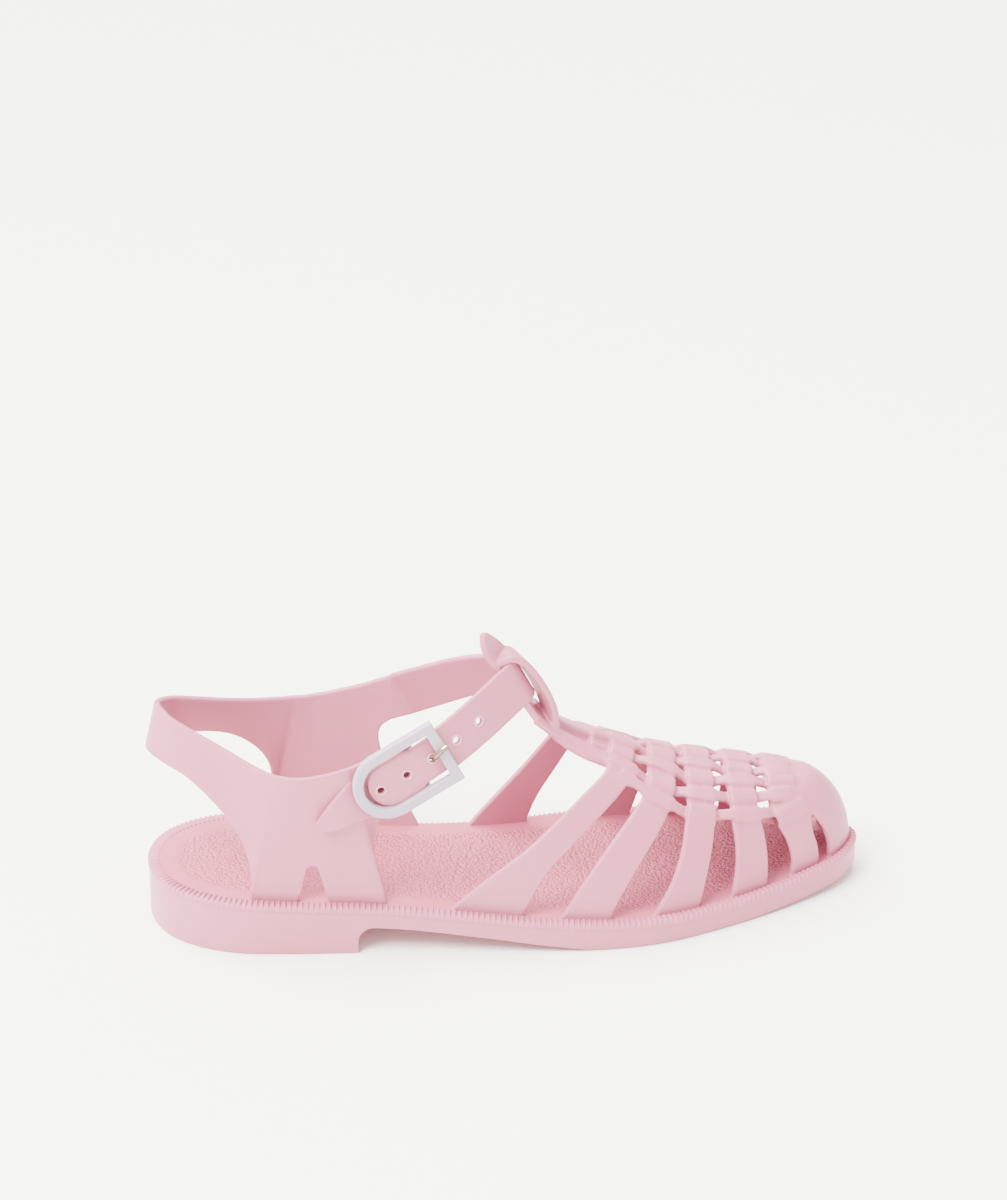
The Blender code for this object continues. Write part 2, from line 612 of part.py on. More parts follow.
def wave(position, knots):
    """Lift along a strap: each knot is a place and a sign, with a smooth swing between them."""
    places = [k[0] for k in knots]
    signs = [k[1] for k in knots]
    if position <= places[0]:
        return signs[0]
    if position >= places[-1]:
        return signs[-1]
    i = int(np.searchsorted(places, position)) - 1
    t = (position - places[i]) / (places[i + 1] - places[i])
    t = min(max((t - WAVE_FLAT) / (1 - 2 * WAVE_FLAT), 0.0), 1.0)
    s = t * t * (3 - 2 * t)
    return signs[i] * (1 - s) + signs[i + 1] * s


def surface_band(name, path, widths, lifts, columns, wall):
    """Band on the vamp surface along a path of x share and round share.

    Its width turns from square across the path to along the feather edge where it reaches it.
    """
    path = np.array(path)
    step = 1e-3
    centre = last(path[:, 0], path[:, 1])
    by_x = (last(path[:, 0] + step, path[:, 1]) - centre) / step
    by_turn = (last(path[:, 0], np.clip(path[:, 1] + step, -1, 1)) - centre) / step
    edge = path[:, 1] > 0.999
    back = (centre - last(path[:, 0], path[:, 1] - step)) / step
    by_turn[edge] = back[edge]
    normal = unit(np.cross(by_x, by_turn))
    along = unit(np.gradient(centre, axis=0))
    across = unit(np.cross(normal, along))
    length_wise = unit(by_x)
    same_way = np.sign(np.sum(length_wise * across, 1))[:, None]
    foot = np.clip((np.abs(path[:, 1:2]) - FOOT_TURN) / (1 - FOOT_TURN), 0, 1) ** 1.5
    across = unit(across * (1 - foot) + length_wise * same_way * foot)
    offsets = np.linspace(-0.5, 0.5, columns)
    grid = np.zeros((len(path), columns, 3))
    for i in range(len(path)):
        basis = np.stack([by_x[i], by_turn[i]], 1)
        move, _, _, _ = np.linalg.lstsq(basis, across[i], rcond=None)
        for k, offset in enumerate(offsets):
            share = path[i, 0] + move[0] * offset * widths[i]
            turn = np.clip(path[i, 1] + move[1] * offset * widths[i], -1, 1)
            grid[i, k] = last(share, turn) + normal[i] * lifts[i]
    return slab(name, grid, wall, normals=np.repeat(normal[:, None], columns, 1))


def cross_straps(places):
    bodies = []
    for i, rows in enumerate(CROSS):
        knots = [(places[i, 0][1] - CROSS_FLAT, 0.0)]
        knots += [(places[i, j][1], -1.0 if (i + j) % 2 else 1.0) for j in range(7)]
        knots.append((places[i, 6][1] + CROSS_FLAT, 0.0))
        path = respaced(spline([(r[0] * 2.0, r[1], r[2]) for r in rows], 8), 23)
        lifts = [WEAVE_LIFT * wave(t, knots) for t in path[:, 1]]
        track = np.stack([path[:, 0] / 2.0, path[:, 1]], 1)
        bodies.append(surface_band("cross", track, path[:, 2] * STRIP_WIDTH, lifts, 3, STRAP_WALL))
    return bodies


def long_strips(places):
    bodies = []
    for j, start in enumerate(STRIP_STARTS):
        knots = [(places[i, j][0], 1.0 if (i + j) % 2 else -1.0) for i in range(5)
                 if places[i, j][0] > start]
        if start < STRIPS[1][0]:
            knots.insert(0, (start + BAR_FLAT, 0.0))
        knots.append((STRIP_END - CAP_FLAT, 0.0))
        x = np.linspace(start, STRIP_END, round(STRIP_STEPS * (STRIP_END - start)))
        path = np.stack([x, strip_turn(j, x)], 1)
        lifts = [WEAVE_LIFT * wave(s, knots) for s in x]
        widths = np.full(len(x), STRIP_WIDTH)
        bodies.append(surface_band("strip", path, widths, lifts, 2, STRAP_WALL * 0.96))
    return bodies


def toe_cap():
    """Dome from the base band round the toe up to the ends of the strips."""
    edge = respaced(spline(CAP_EDGE, 6), CAP_ROWS)
    foot = CAP_EDGE[0][0] * SOLE_LENGTH
    lateral = BASE_LATERAL[BASE_LATERAL[:, 0] > foot]
    medial = BASE_MEDIAL[BASE_MEDIAL[:, 0] > foot][::-1]
    ends = [[(foot, base_y(foot, side))] for side in (-1, 1)]
    arc = respaced(np.vstack([ends[0], lateral, medial, ends[1]]), CAP_COLUMNS + 1)
    feet = np.column_stack([arc, base_z(arc[:, 0])])
    across = np.linspace(0, 1, CAP_COLUMNS + 1)
    top_share, top_turn = CAP_EDGE[-1]
    crown = last(top_share - CAP_SAG * np.sin(np.pi * across), top_turn * (2 * across - 1))
    turn = np.linspace(0, np.pi / 2, CAP_ROWS)
    dome = np.stack([np.cos(turn), np.cos(turn), 1 - np.sin(turn)], 1)
    grid = crown[:, None] + (feet - crown)[:, None] * dome[None]
    for column, side in ((0, -1), (-1, 1)):
        shift = last(edge[:, 0], side * edge[:, 1]) - grid[column]
        near = np.clip(1 - np.abs(across - across[column]) / CAP_BLEND, 0, 1) ** 2
        grid = grid + near[:, None, None] * shift[None]
    grid = grid.transpose(1, 0, 2)[::-1]
    normals = grid_normals(grid)
    tangent = np.gradient(grid[-1], axis=0)
    level = unit(np.stack([tangent[:, 1], -tangent[:, 0], 0 * tangent[:, 0]], 1))
    normals[-1] = level * np.sign(np.sum(level * normals[-1], 1))[:, None]
    return slab("toe_cap", grid + normals * CAP_PROUD, CAP_WALL, normals=normals)


def quarter_point(x_share, reach, height, side):
    """Point of a quarter from a table row; a reach of 0 with no height lies on the base band."""
    x = x_share * SOLE_LENGTH
    if height == 0.0:
        return np.array([x, base_y(x, side), base_z(x)])
    out = max(reach * COLLAR_WIDTH / 2 - STRAP_WALL / 2, 0.0)
    return np.array([x, ANKLE_LEVEL_Y + side * out, height * COLLAR_HEIGHT])


def ankle_z(x, lift):
    crest_x = ANKLE_CREST[0] * SOLE_LENGTH
    return CREST_HEIGHT + (x - crest_x) * math.tan(STRAP_TILT) + lift


def ankle_track():
    """Middle line of the ankle strap from the medial quarter over the crest to its free end."""
    points = []
    for x_share, y_share in ANKLE_MEDIAL:
        x = x_share * SOLE_LENGTH
        fade = min(1.0, max(0.0, -x_share / 0.05))
        points.append((x, y_share * COLLAR_WIDTH, ankle_z(x, MEDIAL_LIFT * fade)))
    for x_share, y_share in [ANKLE_CREST] + ANKLE_LATERAL:
        x = x_share * SOLE_LENGTH
        points.append((x, y_share * COLLAR_WIDTH, ankle_z(x, 0.0)))
    return points


STRAP_AXIS = np.array([-math.sin(STRAP_TILT), 0.0, math.cos(STRAP_TILT)])


def quarter_stations():
    """Top and low edge points from the lateral tab round the heel to the medial ankle strap."""
    rows = [(r, -1) for r in LATERAL[::-1]] + [(r, -1) for r in HEEL_TURN[::-1]]
    rows += [(HEEL_BACK, 1)] + [(r, 1) for r in HEEL_TURN] + [(r, 1) for r in MEDIAL]
    tops = [quarter_point(r[0], r[1], r[2], side) for r, side in rows]
    lows = [quarter_point(r[3], r[4], r[5], side) for r, side in rows]
    return tops, lows


def ankle_line():
    return spline(ankle_track(), 2)


def run_lengths(line):
    return np.r_[0, np.cumsum(np.linalg.norm(np.diff(line, axis=0), axis=1))]


def quarter_and_strap():
    """One wall: lateral quarter, heel strap, medial quarter and ankle strap with its round end."""
    tops, lows = quarter_stations()
    line = ankle_line()
    run = run_lengths(line)
    round_end = [run[-1] - STRAP_WIDTH / 2 * (1 - math.sin(a)) for a in END_TURNS]
    places = np.sort(np.r_[run[run < run[-1] - STRAP_WIDTH / 2], round_end, run[-1]])
    for place in places:
        p = np.array([np.interp(place, run, line[:, k]) for k in range(3)])
        half = STRAP_WIDTH / 2
        left = run[-1] - place
        if left < half:
            half = max(math.sqrt(max(half**2 - (half - left) ** 2, 0.0)), END_BLUNT * half)
        half *= 1 + ROOT_FLARE * max(0.0, 1 - place / (ROOT_LENGTH * run[-1]))
        tops.append(p + STRAP_AXIS * half)
        lows.append(p - STRAP_AXIS * half)
    tops, lows = np.array(tops), np.array(lows)
    v = np.linspace(0, 1, QUARTER_ROWS)[None, :, None]
    grid = lows[:, None] * (1 - v) + tops[:, None] * v
    outward = unit(np.cross(np.gradient(grid.mean(axis=1), axis=0), tops - lows))
    body = slab("quarter", grid, STRAP_WALL, normals=np.repeat(outward[:, None], QUARTER_ROWS, 1))
    for cutter in quarter_hole_cutters() + strap_hole_cutters():
        boolean(body, cutter, "DIFFERENCE")
    return body


def quarter_hole_cutters():
    """Rounded triangles through the foot of each quarter."""
    cutters = []
    for x_share, height, width, side in QUARTER_HOLES:
        x, foot = x_share * SOLE_LENGTH, width * SOLE_LENGTH
        low = base_z(x) - RECESS_DEPTH
        rise = height * COLLAR_HEIGHT - low
        right = [(x + u * foot, low + v * rise) for u, v in HOLE_SHAPE]
        left = [(x - u * foot, low + v * rise) for u, v in HOLE_SHAPE[-2::-1]]
        reaches = (side * 0.3 * COLLAR_WIDTH, side * 0.7 * COLLAR_WIDTH)
        cutters.append(loft("cutter", [[(px, y, pz) for px, pz in right + left] for y in reaches]))
    return cutters


def rod(name, start, end, radius, segments):
    """Round bar between two points."""
    start, end = np.array(start), np.array(end)
    axis = unit(end - start)
    helper = np.array([0.0, 0.0, 1.0]) if abs(axis[2]) < 0.8 else np.array([1.0, 0.0, 0.0])
    u = unit(np.cross(axis, helper))
    v = np.cross(axis, u)
    rings = []
    for point in (start, end):
        turns = [2 * math.pi * k / segments for k in range(segments)]
        rings.append([point + radius * (math.cos(t) * u + math.sin(t) * v) for t in turns])
    return loft(name, rings)


def strap_hole_cutters():
    """Round holes through the free end of the ankle strap."""
    cutters = []
    for k in range(HOLE_COUNT):
        p, outward = strap_hole(k)
        reach = outward * (STRAP_WALL / 2 + HOLE_RADIUS)
        cutters.append(rod("cutter", p - reach, p + reach, HOLE_RADIUS, 10))
    return cutters


def profile_band(name, rows, wall, centre_y):
    """Band whose middle line lies in the XZ plane, with a width in Y that may turn about Z."""
    line = spline([(x * SOLE_LENGTH, z * CREST_HEIGHT, width * LOOP_WIDTH, turn * LEAF_TURN)
                   for x, z, width, turn in rows], 2)
    grid = np.zeros((len(line), 3, 3))
    for i, (x, z, width, turn) in enumerate(line):
        for k, y in enumerate((-0.5, 0.0, 0.5)):
            grid[i, k] = (x + y * width * math.sin(turn), centre_y + y * width * math.cos(turn), z)
    return slab(name, grid[::-1], wall)


def strap_hole(index):
    """Middle of a strap hole, counted from the free end, and the outward direction there."""
    line = ankle_line()
    run = run_lengths(line)
    place = run[-1] - END_HOLE - index * HOLE_PITCH
    middle, ahead = [np.array([np.interp(at, run, line[:, i]) for i in range(3)])
                     for at in (place, place + HOLE_RADIUS)]
    return middle, unit(np.cross(STRAP_AXIS, ahead - middle))


def buckle_axes():
    """Middle of the frame, and its directions along the strap, across it and outwards."""
    along = unit(np.array([1.0, math.tan(FRAME_SLOPE), math.tan(STRAP_TILT)]))
    outward = unit(np.cross(along, STRAP_AXIS))
    across = np.cross(outward, along)
    a, b, c = FRAME_PLACE
    middle = strap_hole(PRONG_HOLE)[0] + along * a * FRAME_LENGTH + across * b * FRAME_WIDTH
    return middle + outward * c * PIN_DEPTH, along, across, outward


def buckle_pin():
    middle, along, _, outward = buckle_axes()
    return middle + along * PIN_ALONG * FRAME_LENGTH - outward * PIN_DEPTH


def buckle_tab():
    """Raised strap on the lateral quarter that ends in a knuckle round the buckle pin."""
    _, pin_along, pin_across, pin_outward = buckle_axes()
    pin = buckle_pin()
    rows = []
    for ahead, sideways, out, width in TAB:
        p = pin + pin_along * ahead * FRAME_LENGTH + pin_across * sideways * STRAP_WIDTH
        rows.append(np.r_[p + pin_outward * out * PIN_DEPTH, width * STRAP_WIDTH])
    line = spline(rows, 2)
    centre = line[:, :3]
    along = unit(np.gradient(centre, axis=0))
    outward = unit(np.cross(along, np.tile(STRAP_AXIS, (len(line), 1))))
    outward *= np.sign(-outward[:, 1:2])
    across = unit(np.cross(outward, along))
    grid = np.zeros((len(line), 3, 3))
    for k, offset in enumerate((-0.5, 0.0, 0.5)):
        grid[:, k] = centre + across * line[:, 3:4] * offset
    tab = slab("tab", grid, STRAP_WALL, normals=np.repeat(outward[:, None], 3, 1))
    along, across, outward = pin_along, pin_across, pin_outward
    reach = across * KNUCKLE_REACH * STRAP_WIDTH
    boolean(tab, rod("knuckle", pin - reach, pin + reach, KNUCKLE_RADIUS, 12), "UNION")
    bore = PIN_RADIUS + CLEARANCE
    boolean(tab, rod("cutter", pin - reach * 1.5, pin + reach * 1.5, bore, 10), "DIFFERENCE")
    half = PRONG_RADIUS + CLEARANCE
    corners = [(SLOT_START, -2), (2, -2), (2, 2), (SLOT_START, 2)]
    rings = [[pin + across * side * half + (along * a + outward * b) * KNUCKLE_RADIUS
              for a, b in corners] for side in (-1, 1)]
    boolean(tab, loft("cutter", rings), "DIFFERENCE")
    return tab


def buckle_frame():
    """D-shaped frame with a pin that sits deeper, under the strap."""
    middle, along, across, outward = buckle_axes()
    length, half = FRAME_LENGTH / 2 - FRAME_BAR / 2, FRAME_WIDTH / 2 - FRAME_BAR / 2
    path = []
    for k in range(13):
        turn = math.pi / 2 + math.pi * k / 12
        path.append((-length + half + half * math.cos(turn), half * math.sin(turn)))
    path = np.array(path + [(length, -half), (length, half)])
    ahead = unit(np.roll(path, -1, 0) - path)
    behind = unit(path - np.roll(path, 1, 0))
    tangent = unit(ahead + behind)
    mitre = 1 / np.sum(tangent * ahead, 1)
    side = np.stack([tangent[:, 1], -tangent[:, 0]], 1) * mitre[:, None]
    bar, deep, cut = FRAME_BAR / 2, FRAME_THICK / 2, FRAME_EDGE
    section = [(-bar, -deep), (bar, -deep), (bar, deep - cut), (bar - cut, deep),
               (-bar + cut, deep), (-bar, deep - cut)]
    rings = []
    for p, s in zip(path, side):
        rings.append([middle + along * (p[0] + s[0] * a) + across * (p[1] + s[1] * a) + outward * b
                      for a, b in section])
    frame = loft("buckle_frame", rings, closed=True)
    pin = buckle_pin()
    leg = LEG_WIDTH / 2
    for sign in (-1, 1):
        foot = pin + across * sign * half
        square = [(-leg, -leg), (leg, -leg), (leg, leg), (-leg, leg)]
        rings = [[foot + outward * rise + along * a + across * b for a, b in square]
                 for rise in (-LEG_WIDTH / 2, PIN_DEPTH)]
        boolean(frame, loft("leg", rings), "UNION")
    boolean(frame, rod("pin", pin - across * half, pin + across * half, PIN_RADIUS, 12), "UNION")
    return frame


def buckle_prong():
    """Bent wire from the pin out through the third hole and over the frame's straight bar."""
    middle, along, across, outward = buckle_axes()
    points = [middle + along * u * FRAME_LENGTH + outward * n * PIN_DEPTH for u, n in PRONG]
    line = spline(points, 2)
    tangent = unit(np.gradient(line, axis=0))
    segments = 8
    rings = []
    for k, p in enumerate(line):
        side = np.cross(tangent[k], across)
        radius = PRONG_RADIUS * (PRONG_END if k in (0, len(line) - 1) else 1.0)
        turns = [2 * math.pi * i / segments for i in range(segments)]
        rings.append([p + radius * (math.cos(t) * side + math.sin(t) * across) for t in turns])
    return loft("buckle_prong", rings)


def build_upper():
    places = crossings()
    bodies = [base_band()] + cross_straps(places) + long_strips(places)
    bodies += [toe_cap(), quarter_and_strap(), buckle_tab()]
    bodies.append(profile_band("bar", BAR, LOOP_WALL, ANKLE_LEVEL_Y))
    bodies.append(profile_band("band", BAND, LOOP_WALL, ANKLE_LEVEL_Y))
    return bodies


def material(name, color):
    mat = bpy.data.materials.new(name)
    mat.use_nodes = True
    shader = mat.node_tree.nodes["Principled BSDF"]
    shader.inputs["Base Color"].default_value = color
    shader.inputs["Roughness"].default_value = 0.2 if name == "buckle_prong" else 0.42
    shader.inputs["Metallic"].default_value = 1.0 if name == "buckle_prong" else 0.0
    return mat


def main():
    remove_all()
    collection = bpy.data.collections.new("jelly_sandal")
    bpy.context.scene.collection.children.link(collection)
    parts = [sole(), insole(), join_all("upper", build_upper()), buckle_frame(), buckle_prong()]
    for part in parts:
        part.data.shade_smooth()
        part.data.set_sharp_from_angle(angle=math.radians(35))
        part.data.materials.clear()
        part.data.materials.append(material(part.name, COLORS[part.name]))
        for owner in list(part.users_collection):
            owner.objects.unlink(part)
        collection.objects.link(part)


main()
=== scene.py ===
"""Visual model of the jelly sandal: right foot, metres, heel -X, toe +X, lateral side -Y."""

import math

import bmesh
import bpy
import numpy as np
from mathutils import Matrix


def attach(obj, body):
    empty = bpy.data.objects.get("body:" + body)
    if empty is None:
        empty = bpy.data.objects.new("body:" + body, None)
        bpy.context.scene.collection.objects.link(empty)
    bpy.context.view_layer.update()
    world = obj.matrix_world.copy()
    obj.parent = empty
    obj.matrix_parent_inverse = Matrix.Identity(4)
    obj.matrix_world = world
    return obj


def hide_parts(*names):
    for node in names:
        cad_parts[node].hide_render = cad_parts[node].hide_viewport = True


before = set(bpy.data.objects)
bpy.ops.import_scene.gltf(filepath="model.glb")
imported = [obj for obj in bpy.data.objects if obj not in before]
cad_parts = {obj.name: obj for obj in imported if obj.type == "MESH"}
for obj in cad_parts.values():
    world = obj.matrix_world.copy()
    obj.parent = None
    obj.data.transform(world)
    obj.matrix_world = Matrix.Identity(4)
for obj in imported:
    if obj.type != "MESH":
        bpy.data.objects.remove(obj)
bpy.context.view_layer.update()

SOLE_LENGTH = 0.255
BALL_WIDTH = 0.0825
SEAT_HEIGHT = 0.021
FOREPART_HEIGHT = 0.009
TOE_SPRING = 0.004
SHANK_RISE = 0.0102
BREAST_STRAIGHT = 0.0045
RIM_WIDTH = 0.0042
RIM_LIP = 0.0016
RIM_STEP = 0.0003
EDGE_ROUND = 0.0007
BAND_EDGE = 0.0004
RECESS_DEPTH = 0.0033
ARCH_RISE = 0.0026
WALL = 0.0024
STRAP_WALL = 0.0021
GAP = 0.0003
CUT_PAST = 0.004
VAMP_HEIGHT = 0.0525
WEAVE_LIFT = 0.00115
STRIP_WIDTH = 0.0048
COLLAR_HEIGHT = 0.0845
COLLAR_WIDTH = 0.060
CREST_HEIGHT = 0.0891
STRAP_WIDTH = 0.0145
STRAP_TILT = math.radians(28.0)
LOOP_WIDTH = 0.0115
LOOP_WALL = 0.0025
HOLE_RADIUS = 0.0013
HOLE_COUNT = 5
HOLE_PITCH = 0.0103
FRAME_LENGTH = 0.036
FRAME_WIDTH = 0.0254
FRAME_BAR = 0.0038
FRAME_THICK = 0.0028
FRAME_EDGE = 0.0006
LEG_WIDTH = 0.0023
PIN_RADIUS = 0.0011
PRONG_RADIUS = 0.00095
SAME_POINT = 2e-7
# Places from heel to toe at which the sole, the insole and the base band share their edges
EDGE_STEPS = 150

# Outline of the sole, round by the lateral side: x share of SOLE_LENGTH, y share of BALL_WIDTH
OUTLINE = [
    (-0.500, 0.000), (-0.492, -0.125), (-0.470, -0.240), (-0.430, -0.335), (-0.375, -0.398),
    (-0.300, -0.423), (-0.180, -0.443), (-0.050, -0.480), (0.050, -0.500), (0.140, -0.500),
    (0.210, -0.467), (0.280, -0.390), (0.350, -0.295), (0.420, -0.180), (0.470, -0.070),
    (0.496, 0.060), (0.494, 0.160), (0.465, 0.285), (0.410, 0.390), (0.330, 0.465),
    (0.235, 0.498), (0.140, 0.480), (0.050, 0.412), (-0.030, 0.335), (-0.110, 0.296),
    (-0.200, 0.315), (-0.300, 0.362), (-0.380, 0.370), (-0.435, 0.320), (-0.475, 0.225),
    (-0.494, 0.115),
]

# Side of the sole: x share, share of the drop from seat to forepart, share of SHANK_RISE
SIDE = [
    (-0.50, 1.00, 1.00), (-0.30, 0.83, 1.00), (-0.18, 0.70, 0.98), (-0.05, 0.42, 0.62),
    (0.05, 0.19, 0.22), (0.12, 0.07, -0.02), (0.21, 0.00, -0.10), (0.50, 0.00, -0.10),
]
SPRING_START = 0.27
SHANK_END = 0.13
# Where the rim starts to narrow, and by what share at the toe
RIM_NARROWS = 0.38
RIM_TAPER = 0.4
# Middle and half length of the medial arch as x shares; share of its rise that the band follows
ARCH_MIDDLE = -0.06
ARCH_SPREAD = 0.17
BAND_RISE = 0.8
# Shares of BALL_WIDTH between which the band starts to rise, and of the insole's own width
ARCH_SIDE = (0.10, 0.25)
ARCH_REACH = 0.45
ARCH_CURVE = 1.6
BREAST_PLACE = -0.217

# Vamp of the last: x share, ridge y share of BALL_WIDTH, ridge height share, roundness
VAMP = [
    (-0.12, 0.000, 2.250, 1.80), (0.00, 0.000, 1.680, 1.80), (0.06, 0.005, 1.370, 1.85),
    (0.13, 0.030, 1.160, 1.95), (0.21, 0.050, 1.005, 2.05), (0.32, 0.070, 0.885, 2.15),
    (0.405, 0.075, 0.810, 2.30), (0.46, 0.080, 0.720, 2.30),
]

# Cross straps: x share and round share of the last, width in STRIP_WIDTH, lateral to medial.
# Round share is -1 at the lateral feather edge, 0 on the ridge and 1 at the medial edge.
CROSS = [
    [(-0.045, -1.00, 5.3), (-0.009, -0.89, 3.6), (0.028, -0.77, 2.35), (0.067, -0.63, 2.1),
     (0.107, -0.47, 2.0), (0.143, -0.29, 1.9), (0.156, -0.09, 1.85), (0.160, 0.08, 1.85),
     (0.150, 0.28, 1.9), (0.116, 0.48, 2.05), (0.073, 0.66, 2.35), (0.024, 0.84, 3.2),
     (-0.016, 1.00, 5.0)],
    [(0.092, -1.00, 3.75), (0.111, -0.88, 3.1), (0.147, -0.69, 2.7), (0.182, -0.50, 2.4),
     (0.203, -0.34, 2.15), (0.213, -0.10, 2.0), (0.216, 0.10, 2.0), (0.214, 0.32, 2.1),
     (0.203, 0.52, 2.3), (0.180, 0.76, 2.7), (0.150, 1.00, 3.7)],
    [(0.220, -1.00, 3.7), (0.237, -0.86, 2.8), (0.251, -0.68, 2.4), (0.259, -0.50, 2.3),
     (0.263, -0.33, 2.1), (0.265, -0.05, 2.0), (0.267, 0.22, 2.0), (0.270, 0.45, 2.2),
     (0.268, 0.70, 2.6), (0.258, 1.00, 3.6)],
    [(0.328, -1.00, 3.2), (0.332, -0.86, 2.8), (0.331, -0.69, 2.5), (0.326, -0.52, 2.3),
     (0.322, -0.30, 2.1), (0.322, 0.00, 2.0), (0.325, 0.28, 2.1), (0.333, 0.50, 2.3),
     (0.341, 0.74, 2.7), (0.343, 1.00, 3.2)],
    [(0.413, -1.00, 2.6), (0.413, -0.88, 2.4), (0.405, -0.72, 2.3), (0.396, -0.55, 2.9),
     (0.383, -0.36, 2.4), (0.379, -0.05, 2.1), (0.380, 0.22, 2.1), (0.390, 0.44, 2.2),
     (0.404, 0.70, 2.5), (0.411, 1.00, 2.8)],
]

# Long strips: x share, then the round share of each strip from the lateral to the medial side
STRIPS = [
    (0.03, -0.20, -0.16, -0.06, 0.01, 0.08, 0.18, 0.22),
    (0.10, -0.20, -0.14, -0.06, 0.01, 0.08, 0.17, 0.22),
    (0.14, -0.24, -0.18, -0.06, 0.02, 0.10, 0.22, 0.28),
    (0.18, -0.32, -0.23, -0.09, 0.02, 0.13, 0.27, 0.36),
    (0.21, -0.38, -0.275, -0.125, 0.005, 0.14, 0.285, 0.41),
    (0.25, -0.44, -0.31, -0.18, -0.05, 0.09, 0.24, 0.40),
    (0.30, -0.465, -0.335, -0.20, -0.075, 0.06, 0.20, 0.36),
    (0.35, -0.485, -0.345, -0.205, -0.08, 0.05, 0.19, 0.35),
    (0.39, -0.495, -0.34, -0.19, -0.07, 0.06, 0.20, 0.36),
    (0.43, -0.50, -0.34, -0.19, -0.07, 0.06, 0.20, 0.36),
]
STRIP_STARTS = [0.150, 0.035, 0.115, 0.115, 0.115, 0.035, 0.150]
STRIP_END = 0.438
STRIP_SHORT = 0.407
# Share of each swing that stays level, and where the swings begin and end: round share of the
# cross straps, x shares of the strips at the T-bar and at the toe cap
WAVE_FLAT = 0.2
CROSS_FLAT = 0.09
BAR_FLAT = 0.08
CAP_FLAT = 0.015
# Round share from which a band turns its width to the feather edge
FOOT_TURN = 0.72

# Rear edge of the toe cap on the lateral side: x share, round share
CAP_EDGE = [(0.451, 1.00), (0.449, 0.86), (0.440, 0.70), (0.4195, 0.52), (0.405, 0.32)]
CAP_ROWS = 24
CAP_COLUMNS = 64
CAP_WALL = 0.0023
CAP_PROUD = 0.00005
CAP_SAG = 0.004
CAP_BLEND = 0.30

# Quarters, outer face, from the back of the heel: x share of SOLE_LENGTH, reach share of half
# COLLAR_WIDTH and height share of COLLAR_HEIGHT, for the top edge and then for the low edge.
# A low reach of 0 marks a point on the base band.
HEEL_BACK = (-0.476, 0.00, 1.000, -0.492, 0.00, 0.793)
HEEL_TURN = [(-0.470, 0.16, 0.990, -0.486, 0.18, 0.788), (-0.456, 0.30, 0.970, -0.470, 0.34, 0.775)]
LATERAL = [
    (-0.428, 0.44, 0.935, -0.440, 0.54, 0.743), (-0.390, 0.62, 0.888, -0.408, 0.69, 0.662),
    (-0.364, 0.76, 0.856, -0.386, 0.77, 0.580), (-0.344, 0.87, 0.834, -0.369, 0.83, 0.490),
    (-0.328, 0.94, 0.821, -0.360, 0.88, 0.390), (-0.314, 0.98, 0.814, -0.358, 0.93, 0.300),
    (-0.304, 1.00, 0.811, -0.360, 0, 0), (-0.294, 1.01, 0.810, -0.332, 0, 0),
    (-0.284, 1.01, 0.810, -0.304, 0, 0), (-0.274, 1.01, 0.812, -0.278, 0, 0),
    (-0.264, 1.00, 0.815, -0.252, 0, 0), (-0.250, 0.99, 0.821, -0.216, 0, 0),
    (-0.233, 0.96, 0.830, -0.178, 0, 0), (-0.218, 0.93, 0.839, -0.186, 0.94, 0.300),
    (-0.204, 0.89, 0.849, -0.193, 0.91, 0.390), (-0.192, 0.86, 0.857, -0.193, 0.87, 0.460),
    (-0.181, 0.82, 0.860, -0.186, 0.83, 0.545), (-0.170, 0.78, 0.858, -0.172, 0.79, 0.630),
    (-0.157, 0.745, 0.852, -0.157, 0.75, 0.700),
]
MEDIAL = [
    (-0.428, 0.44, 0.935, -0.440, 0.54, 0.755), (-0.390, 0.62, 0.888, -0.398, 0.69, 0.720),
    (-0.364, 0.75, 0.858, -0.368, 0.78, 0.672), (-0.338, 0.85, 0.836, -0.342, 0.87, 0.592),
    (-0.316, 0.93, 0.822, -0.327, 0.90, 0.508), (-0.300, 0.97, 0.815, -0.323, 0.92, 0.400),
    (-0.288, 1.00, 0.812, -0.323, 0.94, 0.300), (-0.276, 1.01, 0.811, -0.324, 0, 0),
    (-0.267, 1.02, 0.812, -0.290, 0, 0), (-0.259, 1.03, 0.814, -0.256, 0, 0),
    (-0.2515, 1.03, 0.817, -0.220, 0, 0), (-0.244, 1.03, 0.820, -0.184, 0, 0),
    (-0.2375, 1.03, 0.824, -0.150, 0, 0), (-0.231, 1.03, 0.828, -0.116, 0, 0),
    (-0.2235, 1.03, 0.833, -0.130, 0.76, 0.280), (-0.2165, 1.02, 0.839, -0.146, 0.80, 0.380),
    (-0.209, 1.01, 0.845, -0.160, 0.848, 0.480), (-0.199, 1.00, 0.854, -0.170, 0.88, 0.560),
    (-0.187, 0.99, 0.865, -0.173, 0.895, 0.625), (-0.174, 0.98, 0.879, -0.168, 0.90, 0.672),
    (-0.158, 0.955, 0.897, -0.155, 0.89, 0.703),
]
QUARTER_ROWS = 12
# Rounded openings low in the quarters: x share, height share, foot width share, side
QUARTER_HOLES = [(-0.276, 0.395, 0.050, -1), (-0.220, 0.385, 0.050, 1)]
HOLE_SHAPE = [(0.50, 0.00), (0.19, 0.82), (0.13, 0.95), (0.00, 1.00)]

